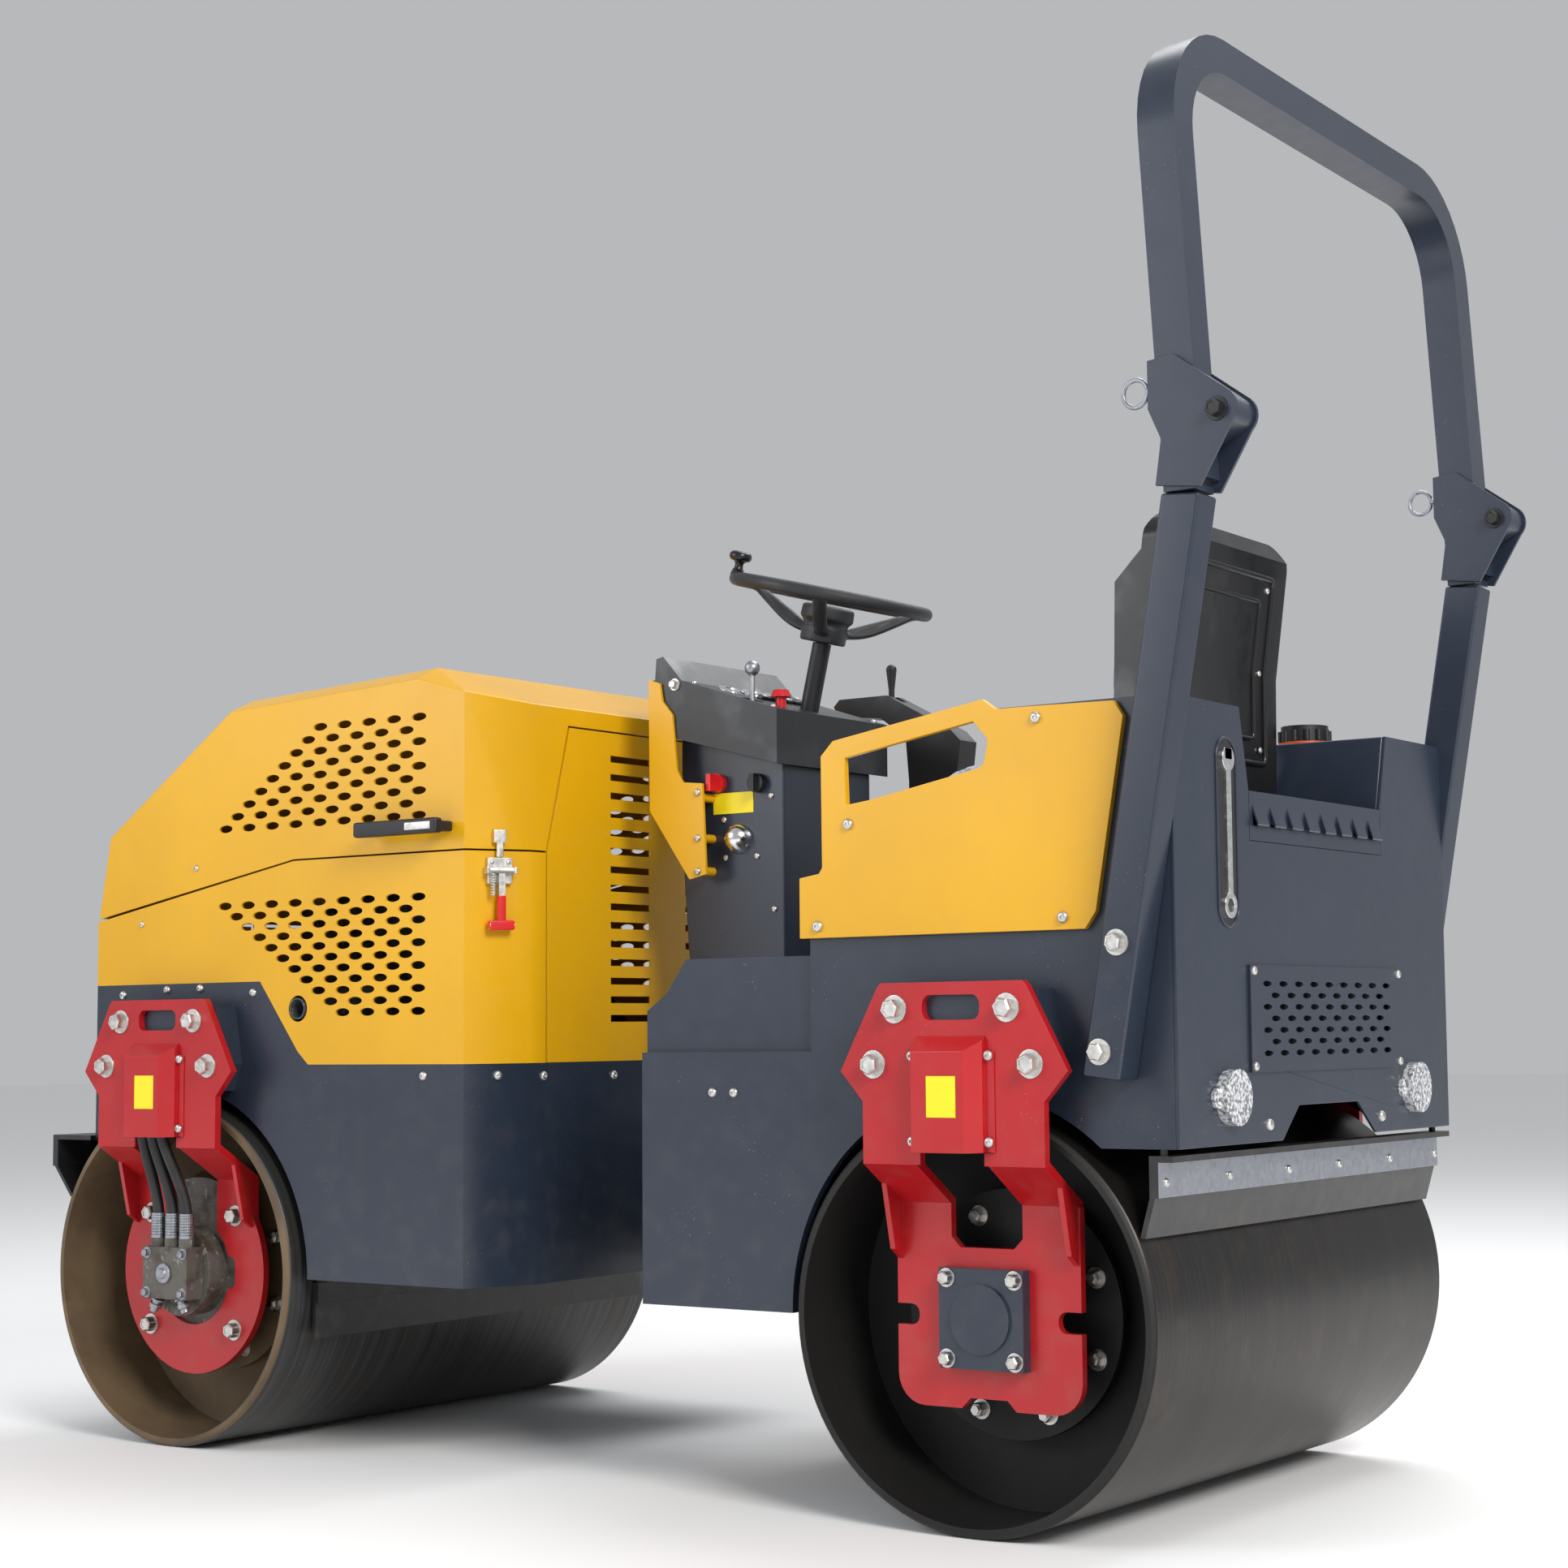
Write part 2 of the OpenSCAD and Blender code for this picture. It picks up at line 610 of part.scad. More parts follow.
// The hood's outer form, drawn smaller by an inset for its inside
module hood_form(inset) hull() {
  side_slab(-half_w + inset, frame_w - 2 * inset) polygon([[nose_x + inset, split_front_z - hood_under],
    [nose_x + inset, split_front_z - plate_t], [brow_x + inset, brow_z - inset / 2],
    [crown_x + inset / 2, crown_z - inset], [ridge_x, hood_rise - inset], [tail_x - inset / 2,
      hood_tail_z - inset],
    [tail_x - inset / 2, split_front_z - hood_under]]);
  side_slab(-half_w + bevel_w, frame_w - 2 * bevel_w) polygon([[brow_x + inset, brow_z + ridge_rise / 2
    - inset],
    [crown_x + inset / 2, crown_z + ridge_rise - inset], [ridge_x, hood_rise + ridge_rise - inset],
    [tail_x - bevel_w, hood_tail_z + ridge_rise - inset]]);
  side_slab(-chamfer_y + inset / 2, 2 * chamfer_y - inset) polygon([[face_x - inset, split_front_z
    - hood_under],
    [face_x - inset, face_top_z - inset], [tail_x, face_top_z - inset]]);
}

module hood() color("gold") front_place() {
  difference() {
    hood_form(0);
    hood_form(sheet_t);
    side_slab(-half_w - over, frame_w + 2 * over) polygon([[nose_x - plate_t, split_front_z - hood_under
      - plate_t],
      [nose_x - plate_t, split_front_z], [split_bend_x, split_rear_z], [face_x + plate_t, split_rear_z],
      [face_x + plate_t, split_front_z - hood_under - plate_t]]);
    tail_opening(0);
  }
  for (s = [-1, 1]) difference() {
    translate([0, s * hood_ear_y, 0]) block([nose_x + sheet_t + shut_gap / 2, -hood_ear_t / 2,
      hood_pin_z - 2 * hood_pin_r], [hood_pin_x + hood_ear_w, hood_ear_t / 2, split_front_z + 2 * plate_t]);
    bar_y(hood_pin_x, hood_pin_z, hood_pin_r + run_c, -2 * hood_ear_y, 2 * hood_ear_y);
  }
  for (s = [-1, 1]) translate([0, s * hood_ear_y, 0]) block([nose_x + sheet_t / 2, -hood_ear_t / 2,
    split_front_z + plate_t / 2], [hood_pin_x + hood_ear_w, hood_ear_t / 2, split_front_z + 2 * plate_t]);
  on_chamfer(split_rear_z + latch_base_t) {
    block([-latch_arm_w, -latch_arm_w, 0], [latch_arm_w, sheet_t / 2, latch_w / 2]);
    block([-latch_arm_w / 2, -latch_arm_w, latch_arm_w - latch_hook], [latch_arm_w / 2, -latch_arm_w / 2,
      over]);
  }
}

// Bow handles on the hood's sides
handle_in = 23;
handle_len = 169;
handle_x1 = tail_x - handle_in;
handle_x0 = handle_x1 - handle_len;
handle_z = 701;
handle_r = 8;
handle_off = 34;
module hood_handles() color("dimgray") front_place() both_sides() {
  for (x = [handle_x0, handle_x1]) bar_y(x, handle_z, handle_r, -half_w - handle_off, -half_w);
  bar_x(-half_w - handle_off, handle_z, handle_r, handle_x0 - handle_r, handle_x1 + handle_r);
}

// The fixed centre cover in the rear face with two columns of louvre slots
louvre_y0 = 45;
louvre_y1 = 145;
louvre_first_z = 406;
louvre_pitch = 29.8;
louvre_h = 11;
louvre_count = 15;
module rear_cover() color("gold") front_place() difference() {
  intersection() {
    tail_opening(shut_gap);
    block([face_x - sheet_t, -half_w, skirt_z + seat_gap], [face_x, half_w, hood_rise]);
  }
  for (s = [-1, 1], i = [0 : louvre_count - 1])
    translate([face_x, s * (louvre_y0 + louvre_y1) / 2, louvre_first_z + i * louvre_pitch])
      cube([4 * sheet_t, louvre_y1 - louvre_y0, louvre_h], center = true);
}

// Engine on its deck: block, head, fan housing, pump and muffler with its tailpipe
engine_z = arch_r + deck_t;
engine_feet = 20;
engine_x0 = -40;
engine_x1 = 300;
engine_half = 130;
engine_block_top = 300;
fan_r = 117;
pump_r = 65;
pump_len = 80;
gear_pump_r = 43;
pump_end = 180;
pipe_open = 72;
muffler_r = 55;
tail_r = 17;
pipe_x = 274;
pipe_z = 427;
module engine() color("gray") front_place() {
  translate([0, 0, engine_z]) {
    for (x = [engine_x0 + engine_feet, engine_x1 - engine_feet], y = [-1, 1])
      translate([x, y * (engine_half - engine_feet), 0]) cylinder(r = engine_feet, h = engine_feet + over,
        $fn = 24);
    block([engine_x0, -engine_half, engine_feet], [engine_x1, engine_half, engine_block_top]);
    block([engine_x0 + engine_feet, -engine_half / 2, engine_block_top - over],
      [engine_x1 - engine_feet, engine_half / 2, engine_block_top + 2 * engine_feet]);
    bar_x(0, engine_block_top / 2, fan_r, engine_x0 - 2 * engine_feet, engine_x0 + over);
    bar_x(0, engine_block_top / 2, pump_r, engine_x1 - over, engine_x1 + pump_len);
    bar_x(0, engine_block_top / 2, gear_pump_r, engine_x1, engine_x1 + pump_end);
  }
  bar_x(-engine_half - 2 * muffler_r, pipe_z, muffler_r, engine_x0, pipe_x + 2 * tail_r);
  bar_y(engine_x0 + engine_feet + muffler_r, pipe_z, tail_r, -engine_half - 2 * muffler_r, -engine_half
    + over);
  difference() {
    bar_y(pipe_x, pipe_z, tail_r, -half_w - over, -engine_half - 2 * muffler_r);
    bar_y(pipe_x, pipe_z, tail_r - sheet_t / 2, -half_w - 2 * over, -half_w + pipe_open);
  }
}

// The joint between the two frames: yoke, pin with steering arm, cylinder

face_gap = wheelbase / 2 - face_x;
module joint_place() translate([rear_axle_x + joint_x, 0, axle_z]) children();
pin_r = 20;
barrel_r = 46;
lug_r = 50;
lug_root = 90;
lug_t = 26;
lug_low = 58;
lug_high = 216;
osc_nut_t = 18;
osc_nut_r = 52;
module yoke() color("slategray") joint_place() difference() {
  union() {
    translate([0, 0, lug_low + lug_t + fit_gap]) cylinder(r = barrel_r, h = lug_high - lug_low - lug_t
      - 2 * fit_gap);
    bar_x(0, osc_z, osc_r + plate_t, fit_gap - face_gap, 0);
    bar_x(0, osc_z, osc_r, -face_gap - housing_len - osc_nut_t, 0);
    bar_x(0, osc_z, osc_nut_r, -face_gap - housing_len - osc_nut_t, -face_gap - housing_len - fit_gap);
  }
  cylinder(r = pin_r + run_c, h = 2 * lug_high);
}

arm_t = 20;
arm_r = 60;
arm_angle = 100;
eye_pin_r = 9;
eye_clear = 6;
eye_t = 18;
eye_wall = 8;
anchor_x = 178;
anchor_y = -40;
ram_z = 17;
ram_r = 22;
rod_r = 10;
ram_len = 122;
rod_in_share = 0.62;
barrel_x0 = 36;
arm_x = arm_r * cos(arm_angle);
arm_y = arm_r * sin(arm_angle);
ram_turn = atan2(arm_y - anchor_y, arm_x - anchor_x);
ram_reach = norm([arm_x - anchor_x, arm_y - anchor_y]);
module articulation_pin() color("silver") joint_place() {
  translate([0, 0, lug_low - fit_gap - arm_t]) cylinder(r = pin_r, h = lug_high + 2 * lug_t - lug_low
    + arm_t);
  translate([0, 0, lug_high + lug_t + fit_gap]) cylinder(r = pin_r + plate_t, h = plate_t + over);
  translate([0, 0, lug_low - fit_gap - arm_t]) linear_extrude(arm_t) {
    circle(r = pin_r + plate_t);
    translate([arm_x, arm_y]) circle(r = eye_pin_r + plate_t);
    rotate(arm_angle) translate([0, -eye_pin_r - plate_t / 2]) square([arm_r, 2 * eye_pin_r + plate_t]);
  }
  translate([arm_x, arm_y, ram_z - eye_t / 2 - sheet_t]) cylinder(r = eye_pin_r, h = lug_low - ram_z);
}

module ram_place() joint_place() translate([anchor_x, anchor_y, ram_z]) rotate(ram_turn) children();
module cylinder_barrel() color("dimgray") ram_place() difference() {
  union() {
    cylinder(r = eye_pin_r + eye_wall, h = eye_t, center = true);
    bar_x(0, 0, eye_wall, eye_pin_r + eye_wall / 2, barrel_x0 + over);
    bar_x(0, 0, ram_r, barrel_x0, ram_len);
  }
  cylinder(r = eye_pin_r + run_c, h = 2 * eye_t, center = true);
  bar_x(0, 0, rod_r + run_c, 2 * ear_half, ram_len + over);
}
module cylinder_rod() color("silver") ram_place() difference() {
  union() {
    bar_x(0, 0, rod_r, ram_len * rod_in_share, ram_reach - eye_pin_r - eye_clear);
    translate([ram_reach, 0, 0]) cylinder(r = eye_pin_r + eye_clear + eye_wall, h = eye_t, center = true);
  }
  translate([ram_reach, 0, 0]) cylinder(r = eye_pin_r + eye_clear, h = 2 * eye_t, center = true);
}

// Rear module: its frame, floor and the plates around the operator

prow_run = 209.5;
prow_x = joint_x + prow_run;
riser_x = -265;
stern_x = 304;
keel_z = -5;
stern_low = 228;
gunwale_x = 50;
gunwale_z = 808;
riser_low = 590;
riser_high = 670;
edge_lift = 12;
step_edge_z = floor_rise + edge_lift;
floor_t = 6;
guard_t = 6;
guard_high = 487;
guard_rise = 60;
guard_run = 72;
pedestal_half = 117;
pedestal_x0_run = 178;
pedestal_x0 = prow_x - pedestal_x0_run;
pedestal_x1_run = 25;
pedestal_x1 = prow_x + pedestal_x1_run;
pedestal_foot_run = 153;
pedestal_foot = prow_x - pedestal_foot_run;
seat_front_x = -213;
ear_t = 12;
ear_half = 24;

module rear_side_outline() difference() {
  polygon([[prow_x, keel_z], [prow_x, step_edge_z], [riser_x, step_edge_z], [riser_x, riser_low],
    [gunwale_x, riser_high], [gunwale_x, gunwale_z], [stern_x, gunwale_z], [stern_x, stern_low],
    [0, stern_low], [0, keel_z]]);
  circle(r = arch_r, $fn = 96);
}

module rear_frame() color("darkslategray") {
  rear_place() {
    both_sides() {
      side_slab(inner_w, plate_t) rear_side_outline();
      side_slab(inner_w - guard_t, guard_t) polygon([[prow_x, step_edge_z], [prow_x, step_edge_z
        + guard_rise],
        [prow_x + guard_run / 2, step_edge_z + guard_rise + 2 * plate_t], [prow_x + guard_run, guard_high],
        [seat_front_x, guard_high], [seat_front_x, step_edge_z - 2 * plate_t],
        [prow_x, step_edge_z - 2 * plate_t]]);
      standoff();
      block([pedestal_foot, pedestal_half - plate_t, lug_high + lug_t], [prow_x, pedestal_half,
        floor_rise - floor_t]);
    }
    block([prow_x, -inner_w, keel_z], [prow_x + plate_t, inner_w, floor_rise - floor_t]);
    block([-arch_r - plate_t, -inner_w, keel_z], [-arch_r, inner_w, arch_r + deck_t]);
    block([-arch_r, -inner_w, arch_r], [stern_x, inner_w, arch_r + deck_t]);
    block([seat_front_x - plate_t, -inner_w, arch_r + deck_t], [seat_front_x, inner_w, floor_rise
      - floor_t]);
  }
  joint_place() {
    for (z = [lug_low, lug_high]) translate([0, 0, z]) linear_extrude(lug_t) difference() {
      union() {
        circle(r = lug_r);
        polygon([[0, -lug_r], [prow_x - joint_x, -lug_root], [prow_x - joint_x, lug_root], [0, lug_r]]);
      }
      circle(r = pin_r + run_c);
    }
    for (z = [ram_z + eye_t / 2 + fit_gap, ram_z - eye_t / 2 - fit_gap - ear_t]) difference() {
      block([anchor_x - ear_half, anchor_y - ear_half, z], [prow_x - joint_x, anchor_y + ear_half, z
        + ear_t]);
      translate([anchor_x, anchor_y, z - over]) cylinder(r = eye_pin_r, h = ear_t + 2 * over);
    }
    translate([anchor_x, anchor_y, ram_z - eye_t / 2 - ear_t]) cylinder(r = eye_pin_r, h = eye_t
      + 2 * ear_t);
  }
}

module floor_plate() color("dimgray") rear_place() {
  half_floor = inner_w - guard_t;
  translate([0, 0, floor_rise - floor_t]) linear_extrude(floor_t) polygon([[pedestal_foot, -pedestal_half],
    [prow_x, -pedestal_half], [prow_x, -half_floor], [seat_front_x, -half_floor],
    [seat_front_x, half_floor], [prow_x, half_floor], [prow_x, pedestal_half], [pedestal_foot,
      pedestal_half]]);
}

// Control column: a sheet pedestal, the console on it and yellow guard plates beside them

console_x0_run = 202;
console_x0 = prow_x - console_x0_run;
console_x1_run = 37;
console_x1 = prow_x + console_x1_run;
console_half = 150;
console_low_rear = 794;
console_rear_h = 85;
console_lip_x_run = 151;
console_lip_x = prow_x - console_lip_x_run;
console_slope = 0.26;
lip_slope = 0.314;
visor_z = 979;
visor_x_run = 188;
visor_x = prow_x - visor_x_run;
console_low_front = console_low_rear + console_slope * (console_x1 - console_x0);
lip_z = console_low_rear + console_rear_h + lip_slope * (console_x1 - console_lip_x);
column_x_run = 10;
column_x = prow_x - column_x_run;
column_z = console_low_rear + console_rear_h + lip_slope * (console_x1 - column_x);
wheel_z = 1072;
wheel_x = column_x + (wheel_z - column_z) * tan(column_lean);
column_r = 15;
column_hole = 212;
spigot_r = 10;
spigot_len = 22;
hub_drop = 75;
hub_len = 30;

module pedestal() color("darkslategray") rear_place() side_slab(-pedestal_half, 2 * pedestal_half)
  polygon([[pedestal_foot, floor_rise], [pedestal_x0, pick(floor_rise, console_low_rear, 0.75)],
    [pedestal_x0, console_low_rear + console_slope * (console_x1 - pedestal_x0)],
    [pedestal_x1, console_low_rear + console_slope * (console_x1 - pedestal_x1)], [pedestal_x1,
      floor_rise]]);

module wheel_place(along) rear_place() translate([wheel_x, 0, wheel_z]) rotate([0, column_lean, 0])
  translate([0, 0, along]) children();

module console() color("dimgray") {
  difference() {
    rear_place() side_slab(-console_half, 2 * console_half) polygon([[console_x1, console_low_rear],
      [console_x1, console_low_rear + console_rear_h], [console_lip_x, lip_z], [visor_x, visor_z],
      [console_x0, visor_z - shut_gap], [console_x0 - shut_gap, lip_z], [console_x0, console_low_front]]);
    wheel_place(-column_hole) cylinder(r = column_r + fit_gap / 2, h = column_hole);
    on_console(button_x, button_y) translate([0, 0, -2 * plate_t])
      cylinder(r = button_stem_r + run_c, h = 4 * plate_t);
    on_console(throttle_x, throttle_y) translate([0, 0, -2 * plate_t])
      cylinder(r = throttle_r + plate_t, h = 4 * plate_t);
  }
  on_console(throttle_x, throttle_y) bar_y(0, -plate_t, throttle_pin_r, -throttle_r - plate_t - over,
    throttle_r + plate_t + over);
}

guard_y = console_half + fit_gap;
guard_shares = [[0, 1], [0.2, 0.978], [0.243, 0.888], [0.417, 0.817], [0.496, 0.54], [0.6, 0.478],
  [0.94, 0.466], [1, 0.022], [0.713, 0], [0.017, 0.348]];
guard_w = 115;
guard_h = 322;
guard_x_run = 214;
guard_x = prow_x - guard_x_run;
guard_low = 621;
guard_plate_t = 5;
guard_flange = 22;
guard_step_share = 0.36;
guard_screw_shares = [0.04, 0.2, 0.4];
screw_share = 0.86;
screw_r = 7;
module console_guards() color("gold") rear_place() both_sides() {
  side_slab(guard_y, guard_plate_t) polygon([for (p = guard_shares) [guard_x + p[0] * guard_w,
    guard_low + p[1] * guard_h]]);
  block([guard_x, -guard_y - over / 2, guard_low + guard_step_share * guard_h], [guard_x + guard_plate_t,
    guard_flange - guard_y,
    guard_low + guard_h]);
  for (z = guard_screw_shares) bar_y(guard_x + screw_share * guard_w, guard_low + z * guard_h, screw_r,
    -guard_y - over / 2,
    -pedestal_half);
}

module steering_column() color("dimgray") {
  wheel_place(-hub_drop - hub_len - column_len) cylinder(r = column_r, h = column_len + hub_len - fit_gap);
  wheel_place(-hub_drop - over) cylinder(r = spigot_r, h = spigot_len);
}
column_len = 100;

spoke_r = 7;
spoke_count = 3;
hub_r_wheel = 31;
cap_r = 36;
cap_top_r = 31;
cap_h = 25;
knob_turn = 225;
knob_r = 18;
knob_h = 32;
knob_stem_r = 4;
knob_shares = [[0.7, 0], [1, 0.45], [0.94, 0.75], [0.55, 1]];
module steering_wheel() color("dimgray") wheel_place(0) {
  rim_r = (wheel_d - rim_d) / 2;
  rotate_extrude($fn = 60) translate([rim_r, 0]) circle(r = rim_d / 2, $fn = 12);
  for (i = [0 : spoke_count - 1]) rotate(180 + i * 360 / spoke_count)
    rod([hub_r_wheel - spoke_r, 0, -hub_drop + hub_len / 2], [rim_r, 0, -spoke_r / 2], spoke_r, $fn = 16);
  difference() {
    union() {
      translate([0, 0, -hub_drop]) cylinder(r = hub_r_wheel, h = hub_len);
      translate([0, 0, hub_len - hub_drop]) cylinder(r1 = cap_r, r2 = cap_top_r, h = cap_h);
    }
    translate([0, 0, -hub_drop - over]) cylinder(r = spigot_r + run_c, h = spigot_len + over);
  }
  rotate(knob_turn) translate([rim_r, 0, 0]) {
    cylinder(r = knob_stem_r, h = rim_d / 2 + knob_h);
    cylinder(r = rim_d / 2, h = rim_d / 2 + fit_gap);
  }
}
module spinner_knob() color("dimgray") wheel_place(0) rotate(knob_turn)
  translate([(wheel_d - rim_d) / 2, 0, rim_d / 2 + 2 * fit_gap])
    rotate_extrude($fn = 32) polygon(concat([[knob_stem_r + run_c, 0]],
      [for (p = knob_shares) [p[0] * knob_r, p[1] * knob_h]], [[knob_stem_r + run_c, knob_h]]));

// Console switches: throttle, stop button, keys
button_x_run = 2;
button_x = prow_x + button_x_run;
button_y = -92;
button_r = 12;
button_wide_r = 16.8;
button_stem_r = 8.5;
button_h = 26;
throttle_x_run = 28;
throttle_x = prow_x - throttle_x_run;
throttle_y = -126;
throttle_r = 5;
throttle_boss_r = 8;
throttle_stem_r = 4;
throttle_h = 62;
throttle_top_r = 12;
throttle_pin_r = 3;
key_x_run = 101;
key_x = prow_x - key_x_run;
key_z = 773;
ignition_x_run = 23;
ignition_x = prow_x - ignition_x_run;
ignition_z = 769;
key_r = 15;
key_t = 12;
key_grip_w = 9;
key_grip_h = 27;
key_bow = 18;
module on_console(x, y) rear_place() translate([x, y, console_low_rear + console_rear_h
  + lip_slope * (console_x1 - x)]) children();
module throttle_lever() color("dimgray") on_console(throttle_x, throttle_y) {
  difference() {
    bar_y(0, -plate_t, throttle_boss_r, -throttle_r, throttle_r);
    bar_y(0, -plate_t, throttle_pin_r + run_c, -plate_t, plate_t);
  }
  translate([0, 0, throttle_r - plate_t]) cylinder(r = throttle_stem_r, h = throttle_h - throttle_r,
    $fn = 20);
  translate([0, 0, throttle_h - 2 * plate_t]) cylinder(r1 = throttle_r, r2 = throttle_top_r, h = plate_t,
    $fn = 24);
  translate([0, 0, throttle_h - plate_t]) sphere(r = throttle_top_r, $fn = 24);
}
module stop_button() color("red") on_console(button_x, button_y) {
  translate([0, 0, fit_gap - plate_t]) cylinder(r = button_stem_r, h = button_h);
  translate([0, 0, button_h - plate_t]) cylinder(r1 = button_wide_r, r2 = button_r, h = plate_t);
}
module turn_key(x, z, bow) rear_place() translate([x, -pedestal_half, z]) {
  bar_y(0, 0, key_r, -key_t, -fit_gap);
  block([-key_grip_w / 2, -key_t - bow, -key_grip_h / 2], [key_grip_w / 2, -key_t + over, key_grip_h / 2]);
}
module isolator_key() color("red") turn_key(key_x, key_z, key_bow);
module ignition_key() color("dimgray") turn_key(ignition_x, ignition_z, key_bow / 2);

// Control stand at the operator's right with the travel lever
stand_x0_run = 18;
stand_x0 = prow_x + stand_x0_run;
stand_x1_run = 113;
stand_x1 = prow_x + stand_x1_run;
stand_inset = 153;
stand_y = inner_w - stand_inset;
stand_half = 25;
stand_top = 795;
stand_nose_x_run = 135;
stand_nose_x = prow_x - stand_nose_x_run;
stand_nose_z = 942;
stand_heel = 74;
stand_arch = 38;
stand_under = 30;
stand_back = 66;
stand_hip = 86;
stand_bulge = 8;
lever_x_run = 32;
lever_x = prow_x - lever_x_run;
lever_z = 918;
lever_r = 5;
lever_pin_r = 3.5;
lever_slot = 26;
lever_len = 70;
lever_boss = 9;
module control_stand() color("dimgray") rear_place() translate([0, stand_y, 0]) {
  difference() {
    side_slab(-stand_half, 2 * stand_half) polygon([[stand_x0, floor_rise], [stand_x0, stand_top],
      [stand_x0 - floor_t, stand_nose_z - stand_heel], [lever_x - floor_t, stand_nose_z - stand_arch],
      [stand_nose_x + plate_t, stand_nose_z - stand_under], [stand_nose_x, stand_nose_z - plate_t],
      [stand_nose_x + plate_t, stand_nose_z], [lever_x + floor_t, stand_nose_z],
      [stand_x1 - plate_t, stand_nose_z - stand_back], [stand_x1 + stand_bulge, stand_nose_z - stand_hip],
        [stand_x1, stand_top],
      [stand_x1, floor_rise]]);
    block([lever_x - lever_slot, -lever_boss - fit_gap, lever_z - lever_slot / 2],
      [lever_x + lever_slot, lever_boss + fit_gap, stand_nose_z + over]);
  }
  bar_y(lever_x, lever_z, lever_pin_r, -stand_half + over, stand_half - over);
}
module travel_lever() color("dimgray") rear_place() translate([0, stand_y, 0]) difference() {
  union() {
    bar_y(lever_x, lever_z, lever_boss, -lever_boss, lever_boss);
    translate([lever_x, 0, lever_z]) cylinder(r = lever_r, h = lever_len);
    translate([lever_x, 0, lever_z + lever_len / 2]) cylinder(r1 = lever_r, r2 = lever_boss,
      h = lever_len / 2);
    translate([lever_x, 0, lever_z + lever_len]) sphere(r = lever_boss, $fn = 24);
  }
  bar_y(lever_x, lever_z, lever_pin_r + run_c, -2 * lever_boss, 2 * lever_boss);
}

// Panels around the seat

panel_t = 10;
panel_x = -276;
post_low_x = 198;
panel_past_post = 46;
panel_len = post_low_x + panel_past_post - panel_x;
panel_low = 510;
panel_h = 311;
panel_shares = [[0, 0], [0, 0.27], [0.064, 0.286], [0.075, 0.312], [0.073, 0.81], [0.113, 0.875],
  [0.587, 1], [0.627, 0.952], [0.71, 0.952], [0.973, 0.945], [1, 0.878], [0.913, 0.071], [0.881, 0]];
grab_shares = [[0.152, 0.794], [0.558, 0.907], [0.602, 0.823], [0.588, 0.72], [0.571, 0.704],
  [0.235, 0.601], [0.156, 0.585]];
module side_panels() color("gold") rear_place() both_sides() side_slab(half_w, panel_t) difference() {
  polygon([for (p = panel_shares) [panel_x + p[0] * panel_len, panel_low + p[1] * panel_h]]);
  polygon([for (p = grab_shares) [panel_x + p[0] * panel_len, panel_low + p[1] * panel_h]]);
}

panel_rear_t = 5;
tower_clear = 17;
tower_flare = 23;
right_clear = 4;
right_flare = 28;
tower_y = seat_w / 2 + tower_clear;
tower_top_y = tower_y + tower_flare;
right_tower_y = seat_w / 2 + right_clear;
right_top_y = right_tower_y + right_flare;
sill_z = 630;
strip_top = 697;
notch_y0 = -137;
notch_y1 = 164;
notch_z = 274;
notch_run0 = 52;
notch_run1 = 60;
grille_y0 = -231;
grille_y1 = 252;
grille_z0 = 321;
grille_z1 = 464;
grille_lap = 16;
module rear_panel() color("darkslategray") rear_place() cross_slab(stern_x, panel_rear_t) difference() {
  polygon([[-half_w, stern_low], [-half_w, gunwale_z], [-tower_top_y, gunwale_z], [-tower_y, strip_top],
    [-tower_y, sill_z], [right_tower_y, sill_z], [right_tower_y, strip_top], [right_top_y, gunwale_z],
    [half_w, gunwale_z], [half_w, stern_low], [notch_y1, stern_low], [notch_y1 - notch_run1, notch_z],
    [notch_y0 + notch_run0, notch_z], [notch_y0, stern_low]]);
  translate([grille_y0 + grille_lap, grille_z0 + grille_lap]) square([grille_y1 - grille_y0
    - 2 * grille_lap,
    grille_z1 - grille_z0 - 2 * grille_lap]);
}

scoop_count = 8;
scoop_w = 30;
scoop_deep = 9;
slot_shares = [0.32, 0.62];
scoop_shares = [0.3, 0.34, 0.6, 0.64, 0.74];
function scoop_y(i) = pick(-tower_y, right_tower_y, (i + 1 / 2) / scoop_count);
module louvre_strip() color("darkslategray") rear_place() {
  h = strip_top - sill_z;
  difference() {
    block([stern_x, fit_gap - tower_y, sill_z + fit_gap], [stern_x + panel_rear_t, right_tower_y - fit_gap,
      strip_top]);
    for (i = [0 : scoop_count - 1]) translate([stern_x, scoop_y(i), 0])
      block([-over, -scoop_w / 2, sill_z + h * slot_shares[0]], [panel_rear_t + over, scoop_w / 2, sill_z
        + h * slot_shares[1]]);
  }
  for (i = [0 : scoop_count - 1])
    translate([stern_x + panel_rear_t, scoop_y(i)
      + scoop_w / 2 + over, sill_z])
      rotate([90, 0, 0]) linear_extrude(scoop_w + 2 * over) polygon([[-over, h * scoop_shares[4]],
        [-over, h * scoop_shares[3]], [0, h * scoop_shares[2]],
        [scoop_deep - over, h * scoop_shares[0]], [scoop_deep, h * scoop_shares[1]], [0,
          h * scoop_shares[4]]]);
}

